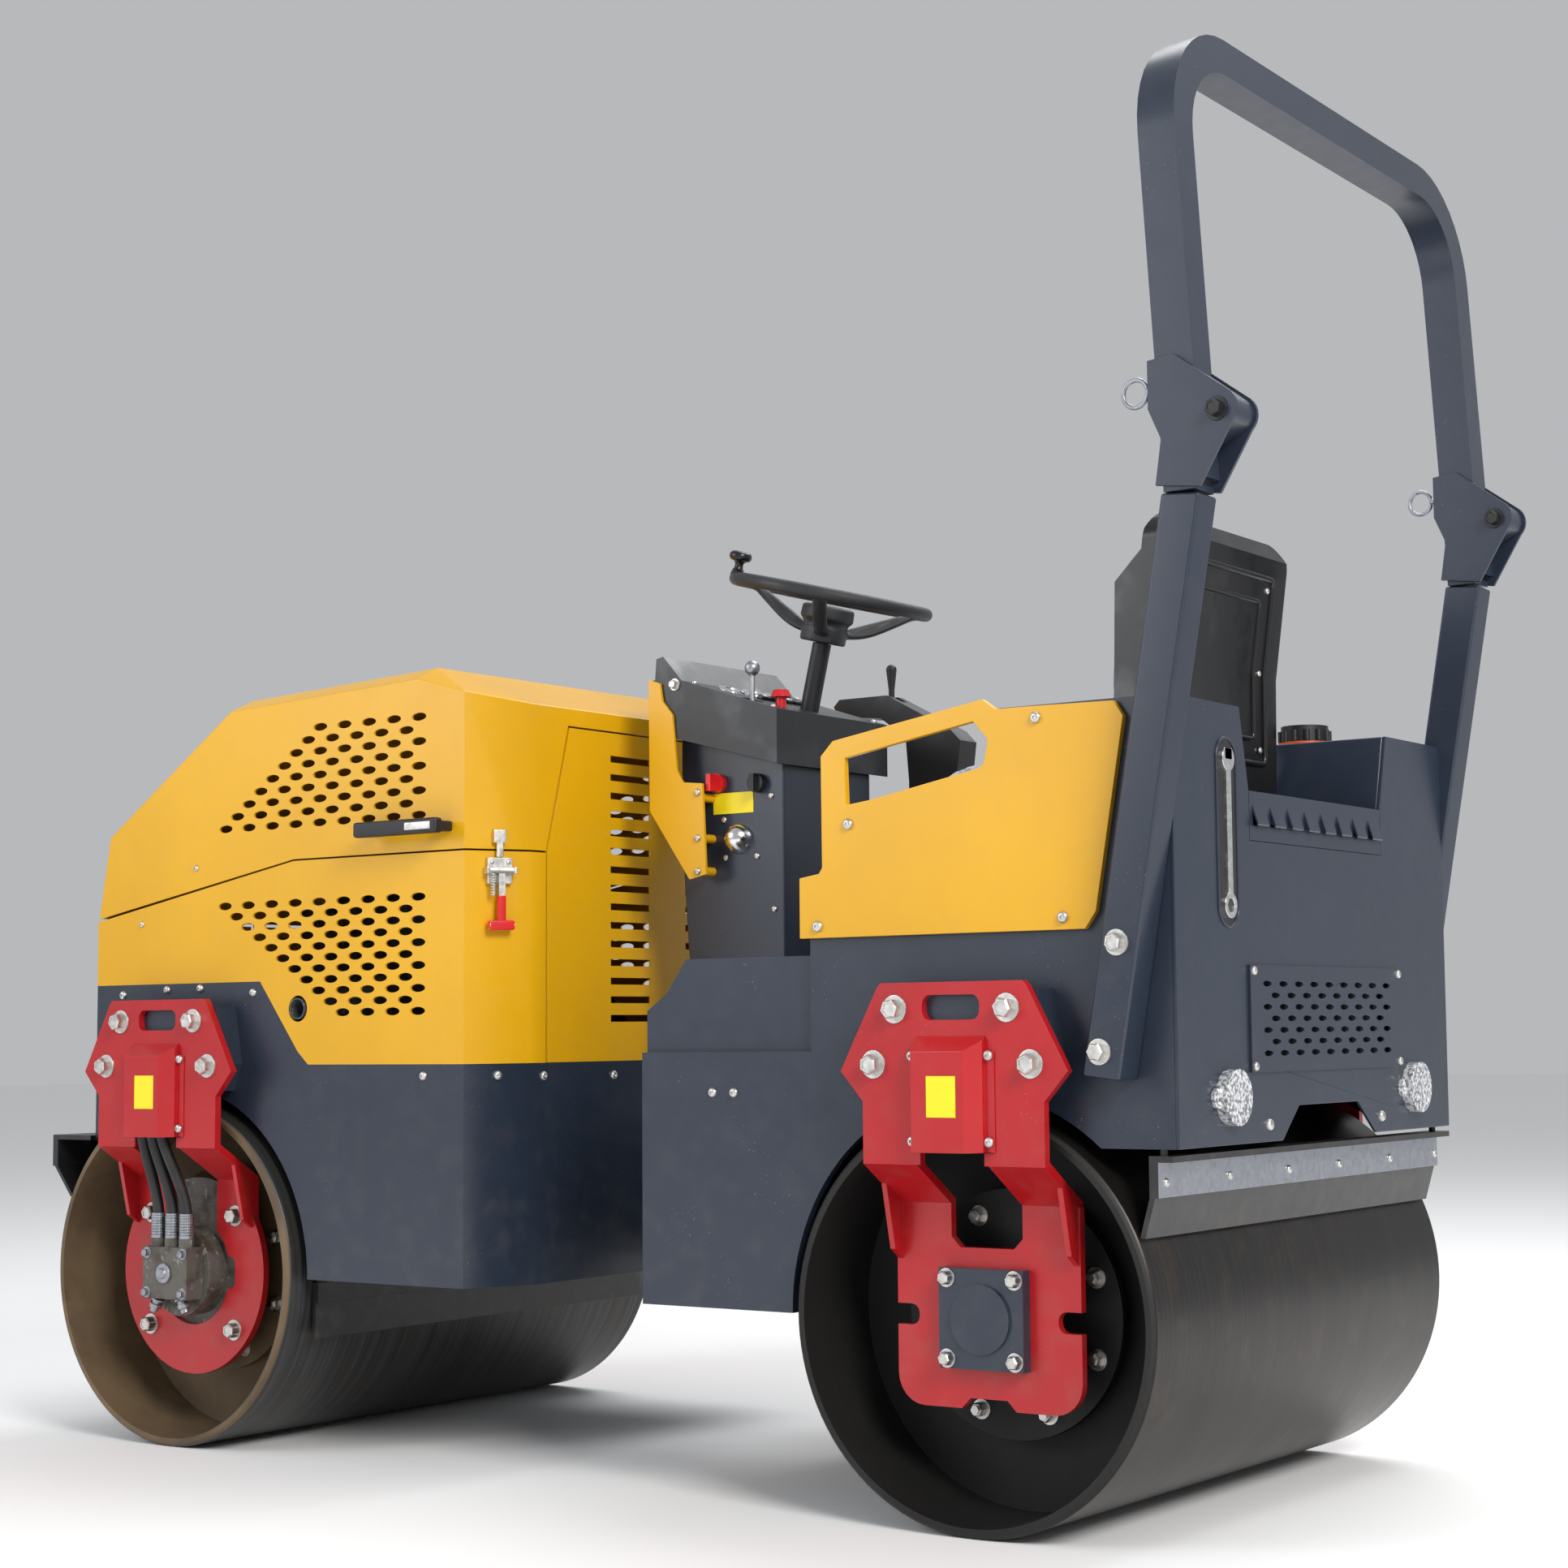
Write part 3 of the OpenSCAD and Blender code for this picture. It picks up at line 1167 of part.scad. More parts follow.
grille_row_count = 7;
grille_slot_count = 9;
grille_pitch_y = 48;
grille_pitch_z = 15.5;
grille_slot_w = 26;
grille_slot_h = 8;
module grille() color("darkslategray") rear_place() cross_slab(stern_x + panel_rear_t, sheet_t)
  difference() {
  translate([grille_y0, grille_z0]) square([grille_y1 - grille_y0, grille_z1 - grille_z0]);
  for (r = [0 : grille_row_count - 1]) {
    n = grille_slot_count - r % 2;
    for (i = [0 : n - 1]) translate([(grille_y0 + grille_y1) / 2 + (i - (n - 1) / 2) * grille_pitch_y,
      (grille_z0 + grille_z1) / 2 + (r - (grille_row_count - 1) / 2) * grille_pitch_z])
      scale([grille_slot_w, grille_slot_h]) circle(r = 0.5, $fn = 10);
  }
}

// Side boxes beside the seat; the right one is the tank
module towers() color("darkslategray") rear_place() {
  cross_slab(gunwale_x, stern_x - gunwale_x) polygon([[-inner_w, arch_r + deck_t], [-inner_w, gunwale_z],
    [-tower_top_y, gunwale_z], [-tower_y, strip_top], [-tower_y, arch_r + deck_t]]);
  cross_slab(gunwale_x, stern_x - gunwale_x) polygon([[inner_w, arch_r + deck_t], [inner_w, gunwale_z],
    [right_top_y, gunwale_z], [right_tower_y, strip_top], [right_tower_y, arch_r + deck_t]]);
  translate([cap_x, cap_y, gunwale_z - over]) cylinder(r = neck_r, h = neck_h + over);
}
cap_x = 150;
cap_inset = 128;
cap_y = inner_w - cap_inset;
neck_r = 28;
neck_h = 14;
cap_r_out = 41;
cap_t = 24;
cap_wall = 5;
cap_grip_count = 12;
cap_grip_share = 0.7;
module filler_cap() color("dimgray") rear_place() translate([cap_x, cap_y, gunwale_z + fit_gap])
  difference() {
  union() {
    cylinder(r = cap_r_out - cap_wall, h = cap_t + plate_t / 2);
    for (i = [0 : cap_grip_count - 1]) rotate(i * 360 / cap_grip_count) translate([cap_r_out - cap_wall, 0,
      cap_t / 4])
      cylinder(r = cap_wall, h = cap_t * cap_grip_share, $fn = 12);
  }
  translate([0, 0, -over]) cylinder(r = neck_r + run_c, h = neck_h + 2 * over);
}

seat_base_in = 10;
seat_base_half = seat_w / 2 - seat_base_in;
seat_base_x1 = 45;
rail_z = 645;
rail_h = 20;
rail_y = 120;
rail_half = 14;
seat_x0 = -300;
shell_t = 18;
rail_end = 36;
shell_z = rail_z + rail_h + shut_gap;
module seat_base() color("darkslategray") rear_place() {
  block([seat_front_x, -seat_base_half, arch_r + deck_t], [seat_base_x1, seat_base_half, rail_z]);
  block([gunwale_x, fit_gap - tower_y, arch_r + deck_t], [stern_x - fit_gap, right_tower_y - fit_gap,
    sill_z + 2 * plate_t]);
  both_sides() seat_rail();
}
module seat_rail() difference() {
  block([seat_front_x + plate_t, rail_y - rail_half, rail_z], [seat_base_x1 - plate_t, rail_y + rail_half,
    rail_z + rail_h]);
  block([seat_front_x - over, rail_y - rail_half / 2, rail_z + rail_h / 3], [seat_base_x1 + over, rail_y
    + rail_half / 2,
    rail_z + rail_h + over]);
}
shell_back_x = 140;
shell_top_x = 172;
shell_top_z = 1102;
shell_mid_z = 900;
back_t = 26;
lip_w = 26;
lip_deep = 30;
lip_top = 39;
nose_run = 41.6;
shell_bend = 54;
back_in_low = 20.8;
back_in_mid = 15.6;
back_out_mid = 7.8;
back_out_low = 5.2;
wing_reach = 104;
wing_mid = 78;
module seat_shell() color("dimgray") rear_place() {
  for (y = [-1, 1]) translate([0, y * rail_y, 0]) {
    block([seat_front_x + rail_end, fit_gap - rail_half / 2, rail_z + rail_h / 3 + fit_gap],
      [seat_base_x1 - rail_end, rail_half / 2 - fit_gap, shell_z + over / 2]);
  }
  side_slab(-seat_w / 2, seat_w) polygon([[seat_x0, shell_z], [seat_x0 - lip_w / 2, shell_z + lip_deep],
    [seat_x0 + lip_w / 2, shell_z + lip_top], [seat_x0 + nose_run, shell_z + shell_t],
    [shell_back_x - 2 * back_t, shell_z + shell_t], [shell_back_x - back_in_low, shell_z + shell_bend],
    [shell_back_x - back_in_mid, shell_mid_z], [shell_top_x - back_t, shell_top_z - lip_w],
    [shell_top_x - back_t / 2, shell_top_z], [shell_top_x, shell_top_z - lip_w],
    [shell_back_x + back_out_mid, shell_mid_z], [shell_back_x + back_out_low, shell_z + shell_bend],
    [shell_back_x - back_t / 2, shell_z]]);
  both_sides() side_slab(seat_w / 2 - lip_w, lip_w) polygon([[shell_back_x - back_in_mid, shell_mid_z
    - wing_reach],
    [shell_back_x - back_in_mid - lip_deep, shell_mid_z - wing_mid], [shell_back_x - back_t - lip_deep / 2,
    shell_mid_z + wing_reach], [shell_top_x - back_t, shell_top_z - 2 * lip_w], [shell_back_x,
      shell_mid_z]]);
}

// A crowned pad: superellipse rings that draw in at the sides and rise to a crown
pad_ring_count = 7;
pad_point_count = 32;
pad_in_share = 0.93;
pad_side_share = 0.468;
pad_draw_share = 0.92;
pad_square_share = 0.45;
pad_top_share = 1.02;
function pad_scale(t) = t < 0.5 ? pick(pad_in_share, 1, sin(180 * t)) : sqrt(1 - pow((2 * t
  - 1) * pad_draw_share, 3));
function pad_rise(t) = t < 0.5 ? 2 * t * pad_side_share : 1 - pow(2 - 2 * t, 2) * (1 - pad_side_share);
function squared(a) = sign(a) * pow(abs(a), pad_square_share);
module pad(l, w, h) {
  pts = concat([[0, 0, 0]], [for (k = [0 : pad_ring_count]) let (t = k / pad_ring_count, s = pad_scale(t),
    z = h * pad_rise(t))
    for (i = [0 : pad_point_count - 1]) [l / 2 * s * squared(cos(i * 360 / pad_point_count)),
    w / 2 * s * squared(sin(i * 360 / pad_point_count)), z]], [[0, 0, h * pad_top_share]]);
  last = len(pts) - 1;
  faces = concat([for (i = [0 : pad_point_count - 1]) [0, 1 + i, 1 + (i + 1) % pad_point_count]],
    [for (k = [0 : pad_ring_count - 1], i = [0 : pad_point_count - 1]) let (a = 1 + k * pad_point_count,
    b = a + pad_point_count, j = (i + 1) % pad_point_count)
      each [[a + i, b + i, b + j], [a + i, b + j, a + j]]],
    [for (i = [0 : pad_point_count - 1]) let (a = 1 + pad_ring_count * pad_point_count) [a + i, last, a + (i
      + 1) % pad_point_count]]);
  polyhedron(pts, faces);
}
pad_h = seat_rise + floor_rise - shell_z - shell_t - fit_gap;
pad_len = 330;
pad_side = seat_w - 2 * lip_w - 2 * fit_gap;
back_pad_len = 300;
back_pad_h = 62;
back_pad_z = 925;
back_tilt = 84.5;
module seat_cushion() color("lightsteelblue") rear_place()
  translate([seat_x0 + nose_run + pad_len / 2, 0, shell_z + shell_t + fit_gap]) pad(pad_len, pad_side
    + lip_w, pad_h);
module back_cushion() color("lightsteelblue") rear_place()
  translate([back_pad_x, 0, back_pad_z]) rotate([0, -back_tilt, 0]) pad(back_pad_len, pad_side, back_pad_h);
back_pad_x = 126.4;

// Folding roll bar: lower posts, hinge cheeks, and the hoop with its two locking pins

post_low_z = 315;
post_top_x = 327;
post_top_z = 1052;
post_low_cut = 7;
post_top_cut = 5;
post_spread = 1;
cheek_t = 5;
cheek_gap = 0.5;
hoop_in = bar_w / 2 - bar_tube;
cheek_low = 1058;
cheek_top = 1232;
cheek_nose_z = 1228;
cheek_shelf_z = 1066;
cheek_top_run = 20;
lock_web = 18;
lock_web_t = 6;
foot_trim_x = 45;
foot_trim_z = 42;
web_z = 1165;
lock_z = 1196;
lock_r = 6;
lock_len = 74;
lock_hold = 40;
lock_ring_r = 18;
lock_wire = 3;
hinge_r = 10;
hoop_x = 332;
hoop_lean = 3.5;
hoop_low = 1070;
lobe_up = 70;
lobe_down = 50;
module rops_posts() color("darkslategray") rear_place() both_sides() side_slab(half_w, bar_tube)
  polygon([[post_low_x, post_low_z + post_low_cut], [post_top_x, post_top_z + post_top_cut],
    [post_top_x + bar_depth + post_spread, post_top_z], [post_low_x + bar_depth - post_spread,
      post_low_z]]);

module cheek_outline() polygon(concat([[hoop_x - lock_web, cheek_nose_z], [hoop_x + cheek_top_run,
  cheek_top]],
  arc(hinge_x, hinge_z, cheek_round, 45, -45, 8), [[hoop_x + bar_depth, cheek_low],
  [hoop_x - lock_web / 2, cheek_shelf_z], [hoop_x, hinge_z - cheek_round], [hoop_x - lock_web, web_z]]));

module rops_cheeks() color("darkslategray") rear_place() both_sides() {
  difference() {
    union() {
      for (y = [hoop_in - cheek_gap - cheek_t, bar_w / 2 + cheek_gap]) side_slab(y, cheek_t)
        cheek_outline();
      block([hoop_x - lock_web, -bar_w / 2 - cheek_gap - over / 2, web_z], [hoop_x - lock_web + lock_web_t,
        -hoop_in + cheek_gap + over / 2, cheek_nose_z]);
      block([post_top_x + cheek_t, -bar_w / 2 - cheek_gap - over / 2, post_top_z + cheek_t],
        [post_top_x + bar_depth - cheek_t, -hoop_in + cheek_gap + over / 2, cheek_shelf_z]);
    }
    bar_y(hinge_x, hinge_z, hinge_r + run_c, -bar_w, -hoop_in + 2 * plate_t);
    block([hoop_x - 2 * lock_web, -lock_y - lock_r - over, lock_z - lock_r - over],
      [hoop_x - fit_gap, lock_r + over - lock_y, cheek_top + over]);
  }
}
lock_y = (bar_w - bar_tube) / 2;

// Outline of the hoop in its own plane, drawn smaller by an inset for the tube's inside
function hoop_side(inset, r, y) = concat([[y, inset > 0 ? -over : 0]],
  arc(bar_w / 2 - bar_corner, bar_rise - hoop_low - bar_corner, r, 0, 90, 10));
module hoop_outline(inset) {
  outer = hoop_side(inset, bar_corner - inset, bar_w / 2 - inset);
  inner = hoop_side(inset, bar_corner - bar_tube + inset, bar_w / 2 - bar_tube + inset);
  back = [for (i = [len(inner) - 1 : -1 : 0]) inner[i]];
  polygon(concat(outer, mirrored(outer), mirrored(back), back));
}
hoop_wall = 4;
module rops_hoop() color("darkslategray") rear_place() difference() {
  union() {
    translate([hoop_x, 0, hoop_low]) rotate([0, -hoop_lean, 0]) difference() {
      cross_slab(0, bar_depth) hoop_outline(0);
      cross_slab(hoop_wall, bar_depth - 2 * hoop_wall) hoop_outline(hoop_wall);
    }
    both_sides() side_slab(hoop_in, bar_tube) polygon(concat([[hoop_x + bar_depth / 2, hinge_z + lobe_up],
      [hoop_x + bar_depth / 2, hinge_z - lobe_down]],
        arc(hinge_x, hinge_z, cheek_round - hoop_wall, -45, 45, 8)));
    both_sides() block([hoop_x - over, -bar_w / 2, hoop_low], [hoop_x + bar_depth / 2, -hoop_in,
      cheek_top]);
  }
  side_slab(-bar_w, 2 * bar_w) polygon([[hoop_x - lock_web, hoop_low - over], [hoop_x - lock_web,
    hoop_low + foot_trim_z],
    [hoop_x, hoop_low + foot_trim_z], [hoop_x + foot_trim_x, hoop_low], [hoop_x + foot_trim_x, hoop_low
      - over]]);
  both_sides() {
    bar_y(hinge_x, hinge_z, hinge_r + run_c, -bar_w, -hoop_in + over);
    bar_x(-lock_y, lock_z, lock_r + run_c, hoop_x - plate_t, hoop_x + lock_hold + over);
  }
}

module rops_pin(side) color("silver") rear_place() translate([0, side * lock_y, lock_z]) {
  bar_x(0, 0, lock_r, hoop_x + lock_hold - lock_len, hoop_x + lock_hold);
  translate([hoop_x + lock_hold - lock_len - lock_ring_r, 0, 0]) rotate([90, 0, 0])
    rotate_extrude($fn = 28) translate([lock_ring_r, 0]) circle(r = lock_wire, $fn = 13);
}

lamp_y = 293;
lamp_z = 290;
lamp_r = 37;
lamp_t = 16;
lamp_ear = 13;
module rear_lamps() color("whitesmoke") rear_place() both_sides() translate([stern_x + panel_rear_t,
  lamp_y, lamp_z]) {
  bar_x(0, 0, lamp_r, 0, lamp_t);
  for (s = [-1, 1]) bar_x(s * lamp_r, 0, lamp_ear, 0, lamp_t / 3);
}

spanner_y = -283;
spanner_z0 = 541;
spanner_z1 = 735;
spanner_r = 17;
spanner_w = 13;
spanner_hex_r = 10.2;
module spanner() color("silver") rear_place() cross_slab(stern_x + panel_rear_t, panel_rear_t)
  difference() {
  union() {
    translate([spanner_y - spanner_w / 2, spanner_z0]) square([spanner_w, spanner_z1 - spanner_z0]);
    for (z = [spanner_z0, spanner_z1]) translate([spanner_y, z]) circle(r = spanner_r, $fn = 28);
  }
  translate([spanner_y, spanner_z0]) circle(r = spanner_hex_r, $fn = 6);
  translate([spanner_y - spanner_r / 2, spanner_z1]) square([spanner_r, 2 * spanner_r]);
}

// Nodes of the two axles
module rear_brackets() color("firebrick") rear_place() bracket_pair(-1);
module front_brackets() color("firebrick") front_place() bracket_pair(1);
module rear_bracket_covers() color("firebrick") rear_place() bracket_covers();
module front_bracket_covers() color("firebrick") front_place() bracket_covers();
module rear_bearing() color("darkslategray") rear_place() bearing_unit(-1);
module front_bearing() color("darkslategray") front_place() bearing_unit(1);
module rear_motor() color("gray") rear_place() wheel_motor(1);
module front_motor() color("gray") front_place() wheel_motor(-1);
module rear_hoses() color("dimgray") rear_place() motor_hoses(1);
module front_hoses() color("dimgray") front_place() motor_hoses(-1);
module rear_drum() color("dimgray") rear_place() drum(1);
module front_drum() color("dimgray") front_place() drum(-1);
module rear_exciter() color("gray") rear_place() exciter();
module front_exciter() color("gray") front_place() exciter();
module rear_scrapers() color("dimgray") rear_place() {
  outer_scraper(stern_x, rear_scraper_reach);
  inner_scraper(keel_z);
  both_sides() translate([rear_scraper_reach, -inner_w - plate_t / 2, scraper_bar_z + scraper_bar_t - over])
    cylinder(r = stud_r, h = stern_low - scraper_bar_z - scraper_bar_t + over, $fn = 20);
}
module front_scrapers() color("dimgray") front_place() mirror([1, 0, 0]) {
  outer_scraper(-nose_x, front_scraper_reach);
  inner_scraper(0);
}
module front_bolts() color("silver") front_place() bracket_bolts();
module rear_bolts() color("silver") rear_place() {
  bracket_bolts();
  both_sides() {
    bar_y(hinge_x, hinge_z, hinge_r, -bar_w / 2 - cheek_t - plate_t / 2, -hoop_in + cheek_t + plate_t / 2);
    for (y = [-bar_w / 2 - cheek_t - cheek_gap, -hoop_in + cheek_t + cheek_gap + plate_t / 2])
      translate([hinge_x, y, hinge_z]) rotate([90, 0, 0]) cylinder(r = bolt_r, h = plate_t / 2, $fn = 6);
  }
}

rear_frame();
floor_plate();
pedestal();
console();
console_guards();
steering_column();
side_panels();
rear_panel();
louvre_strip();
grille();
towers();
seat_base();
rops_posts();
rops_cheeks();
rear_brackets();
rear_bracket_covers();
rear_bearing();
rear_motor();
rear_hoses();
rear_scrapers();
rear_bolts();
articulation_pin();
control_stand();
spanner();
rear_lamps();
isolator_key();
ignition_key();
throttle_lever();
stop_button();
steering_wheel();
spinner_knob();
travel_lever();
filler_cap();
seat_shell();
seat_cushion();
back_cushion();
rops_hoop();
rops_pin(-1);  // rops_pin_left
rops_pin(1);  // rops_pin_right
rear_drum();
rear_exciter();
yoke();
cylinder_rod();
cylinder_barrel();
front_frame();
lower_body();
rear_cover();
engine();
front_brackets();
front_bracket_covers();
front_bearing();
front_motor();
front_hoses();
front_scrapers();
front_bolts();
hood();
hood_handles();
latch_lever();
front_drum();
front_exciter();
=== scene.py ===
"""Looks of a compact ride-on tandem road roller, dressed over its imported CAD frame."""
import json
import logging
import math
from dataclasses import dataclass, field
from enum import Enum
from typing import Callable, Iterable, Optional, Sequence, Union

import bpy
from mathutils import Matrix, Vector


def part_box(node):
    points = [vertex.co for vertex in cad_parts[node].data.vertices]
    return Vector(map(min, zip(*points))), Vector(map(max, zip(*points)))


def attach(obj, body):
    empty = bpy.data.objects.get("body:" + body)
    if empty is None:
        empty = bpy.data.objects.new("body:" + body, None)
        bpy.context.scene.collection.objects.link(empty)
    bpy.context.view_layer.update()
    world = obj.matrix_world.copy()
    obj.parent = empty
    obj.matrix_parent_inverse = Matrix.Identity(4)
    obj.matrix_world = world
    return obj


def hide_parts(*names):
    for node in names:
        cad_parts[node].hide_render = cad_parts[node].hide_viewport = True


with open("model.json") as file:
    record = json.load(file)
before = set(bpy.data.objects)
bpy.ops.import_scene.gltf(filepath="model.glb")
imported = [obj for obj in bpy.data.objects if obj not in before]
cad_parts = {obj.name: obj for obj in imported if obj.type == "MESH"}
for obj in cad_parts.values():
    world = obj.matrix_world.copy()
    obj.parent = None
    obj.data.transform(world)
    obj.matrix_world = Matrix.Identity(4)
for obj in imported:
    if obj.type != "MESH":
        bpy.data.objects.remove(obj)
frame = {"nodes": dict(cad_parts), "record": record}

LOG = logging.getLogger("roller")
MM = 0.001
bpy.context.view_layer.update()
BODY_OF = {node: body for body, nodes in frame["record"]["behaviour"]["bodies"].items() for node in nodes}
Pair = tuple[float, float]
Triple = tuple[float, float, float]
Colour = Triple
Piece = bpy.types.Object

SIDES = (-1, 1)  # left and right
BACKWARDS = (1, 0, 0)
WELD = 0.005 * MM
CORNER = 28.0  # degrees; a sharper edge is rounded
# Degrees below which an edge looks smooth, by the kind of piece
SHEET_SMOOTH, PLAIN_SMOOTH, HEAD_SMOOTH, ROUND_SMOOTH, SOFT_SMOOTH = 30.0, 32.0, 40.0, 50.0, 60.0


def hand(side: int) -> str:
    """Names a side of the machine: -1 is the left."""
    return "left" if side < 0 else "right"


def middle(node: str) -> Vector:
    """Gives the middle of a CAD node's box."""
    low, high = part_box(node)
    return (low + high) / 2


REAR = middle("rear_drum")
FRONT = middle("front_drum")


def at_rear(x: float, y: float, z: float) -> Vector:
    """Gives a place in the shared frame, in metres, from millimetres about the rear axle's middle."""
    return REAR + Vector((x, y, z)) * MM


def at_front(x: float, y: float, z: float) -> Vector:
    """Gives a place in the shared frame, in metres, from millimetres about the front axle's middle."""
    return FRONT + Vector((x, y, z)) * MM


def along_x(a: Vector, b: Vector) -> bool:
    """Tells whether an edge between two points runs along the machine."""
    return abs(a.y - b.y) + abs(a.z - b.z) < 1e-6


# Materials


class Wire:
    """A node's output that takes arithmetic with numbers and other outputs."""

    def __init__(self, tree: "Tree", socket: bpy.types.NodeSocket) -> None:
        """Keeps the tree and the socket."""
        self.tree = tree
        self.socket = socket

    def _math(self, operation: str, left: "Value", right: "Value") -> "Wire":
        """Adds a Math node."""
        return self.tree.wire("ShaderNodeMath", {"operation": operation}, {0: left, 1: right})

    def __add__(self, other: "Value") -> "Wire":
        """Adds."""
        return self._math("ADD", self, other)

    def __radd__(self, other: "Value") -> "Wire":
        """Adds, with the output on the right."""
        return self._math("ADD", other, self)

    def __sub__(self, other: "Value") -> "Wire":
        """Subtracts."""
        return self._math("SUBTRACT", self, other)

    def __rsub__(self, other: "Value") -> "Wire":
        """Subtracts, with the output on the right."""
        return self._math("SUBTRACT", other, self)

    def __mul__(self, other: "Value") -> "Wire":
        """Multiplies."""
        return self._math("MULTIPLY", self, other)

    def __rmul__(self, other: "Value") -> "Wire":
        """Multiplies, with the output on the right."""
        return self._math("MULTIPLY", other, self)


Value = Union[Wire, float, tuple]


def shaded(colour: Colour, factor: float, lift: float = 0.0) -> Colour:
    """Gives a colour times a factor, with the same amount added to all three parts."""
    return tuple(factor * part + lift for part in colour)


class Tree:
    """A material's node tree with one Principled shader."""

    def __init__(self, name: str) -> None:
        """Starts an empty material.

        Args:
            name: the material's name.
        """
        self.material = bpy.data.materials.new(name)
        self.material.use_nodes = True
        self.nodes = self.material.node_tree.nodes
        self.links = self.material.node_tree.links
        self.nodes.clear()
        self.shader = self.node("ShaderNodeBsdfPrincipled", {}, {})
        output = self.node("ShaderNodeOutputMaterial", {}, {})
        self.links.new(self.shader.outputs[0], output.inputs["Surface"])

    def node(self, kind: str, settings: dict, inputs: dict) -> bpy.types.Node:
        """Adds a node.

        Args:
            kind: the node's type.
            settings: its properties, such as a Math node's operation; they are set first.
            inputs: a value or a link for each socket that is set.

        Returns:
            The new node.
        """
        made = self.nodes.new(kind)
        for key, value in settings.items():
            setattr(made, key, value)
        for key, value in inputs.items():
            self.feed(made.inputs[key], value)
        return made

    def feed(self, socket: bpy.types.NodeSocket, value: Value) -> None:
        """Sets or links one input socket."""
        if isinstance(value, Wire):
            self.links.new(value.socket, socket)
        else:
            socket.default_value = value

    def wire(self, kind: str, settings: dict, inputs: dict, output: Union[int, str] = 0) -> Wire:
        """Adds a node and gives one of its outputs."""
        return Wire(self, self.node(kind, settings, inputs).outputs[output])

    def place(self) -> Wire:
        """Gives the place on the object, in metres."""
        return self.wire("ShaderNodeTexCoord", {}, {}, "Object")

    def stretched(self, factors: Triple, shift: Triple) -> Wire:
        """Gives the place with each axis scaled, after a shift."""
        moved = self.wire("ShaderNodeVectorMath", {"operation": "SUBTRACT"}, {0: self.place(), 1: shift})
        return self.wire("ShaderNodeVectorMath", {"operation": "MULTIPLY"}, {0: moved, 1: factors})

    def part(self, vector: Wire, axis: int) -> Wire:
        """Gives one component of a vector."""
        return self.wire("ShaderNodeSeparateXYZ", {}, {0: vector}, axis)

    def noise(self, scale: float, detail: float, where: Optional[Wire] = None) -> Wire:
        """Gives a noise from 0 to 1."""
        where = where or self.place()
        return self.wire("ShaderNodeTexNoise", {}, {"Vector": where, "Scale": scale, "Detail": detail})

    def cells(self, scale: float) -> Wire:
        """Gives the distance to the nearest of scattered points."""
        return self.wire("ShaderNodeTexVoronoi", {}, {"Vector": self.place(), "Scale": scale})

    def step(self, value: Value, low: float, high: float) -> Wire:
        """Gives a smooth step from 0 at low to 1 at high."""
        inputs = {"Value": value, "From Min": low, "From Max": high}
        return self.wire("ShaderNodeMapRange", {"interpolation_type": "SMOOTHSTEP"}, inputs)

    def mix(self, share: Value, first: Value, second: Value) -> Wire:
        """Mixes two colours."""
        colours = [value if isinstance(value, Wire) else (*value, 1.0) for value in (first, second)]
        inputs = {0: share, 6: colours[0], 7: colours[1]}
        return self.wire("ShaderNodeMix", {"data_type": "RGBA"}, inputs, 2)

    def surface(self, colour: Value, rough: Value, metallic: Value = 0.0, coat: float = 0.0) -> None:
        """Feeds the shader's main sockets."""
        self.feed(self.shader.inputs["Base Color"], colour if isinstance(colour, Wire) else (*colour, 1.0))
        self.feed(self.shader.inputs["Roughness"], rough)
        self.feed(self.shader.inputs["Metallic"], metallic)
        self.shader.inputs["Coat Weight"].default_value = coat

    def relief(self, height: Wire, depth: float, strength: float = 1.0) -> None:
        """Feeds a bump of the given depth, in metres, to the shader's normal."""
        inputs = {"Height": height, "Distance": depth, "Strength": strength}
        bump = self.wire("ShaderNodeBump", {}, inputs)
        self.feed(self.shader.inputs["Normal"], bump)


@dataclass(frozen=True)
class Finish:
    """A finish: its material's name, the record's slot and its colour."""

    name: str
    slot: str
    colour: Colour

    def dress(self, tree: Tree) -> None:
        """Builds the nodes."""
        tree.surface(self.colour, 0.5)

    def make(self) -> bpy.types.Material:
        """Makes the material, or gives the one that was made before.

        Returns:
            The material of this finish.
        """
        found = bpy.data.materials.get(self.name)
        if found:
            return found
        tree = Tree(self.name)
        self.dress(tree)
        return tree.material


@dataclass(frozen=True)
class PowderCoat(Finish):
    """Satin paint on sheet steel with a faint orange peel, drift in tone, specks and dust low down."""

    shade: Colour = (0.5, 0.5, 0.5)
    rough: float = 0.38
    dust: float = 0.25
    peel: float = 0.00006

    def dress(self, tree: Tree) -> None:
        """Builds the nodes."""
        drift = tree.step(tree.noise(2.3, 4), 0.3, 0.7)
        colour = tree.mix(drift, self.shade, self.colour)
        height = tree.part(tree.place(), 2)
        low = 1 - tree.step(height, 0.15, 0.75)
        grime = tree.step(tree.noise(26, 8), 0.45, 0.75)
        film = (low * 0.6 + 0.12) * grime * self.dust
        colour = tree.mix(film, colour, (0.23, 0.19, 0.14))
        specks = tree.step(tree.noise(420, 2), 0.72, 0.76) * tree.step(tree.noise(9, 3), 0.52, 0.62)
        colour = tree.mix(specks * 0.5, colour, (0.62, 0.58, 0.5))
        rough = tree.noise(38, 5) * 0.16 + (self.rough - 0.08) + film * 0.5
        tree.surface(colour, rough, 0.0, 0.12)
        tree.shader.inputs["Coat Roughness"].default_value = 0.18
        tree.relief(tree.noise(750, 2) + tree.noise(90, 3) * 0.8, self.peel)


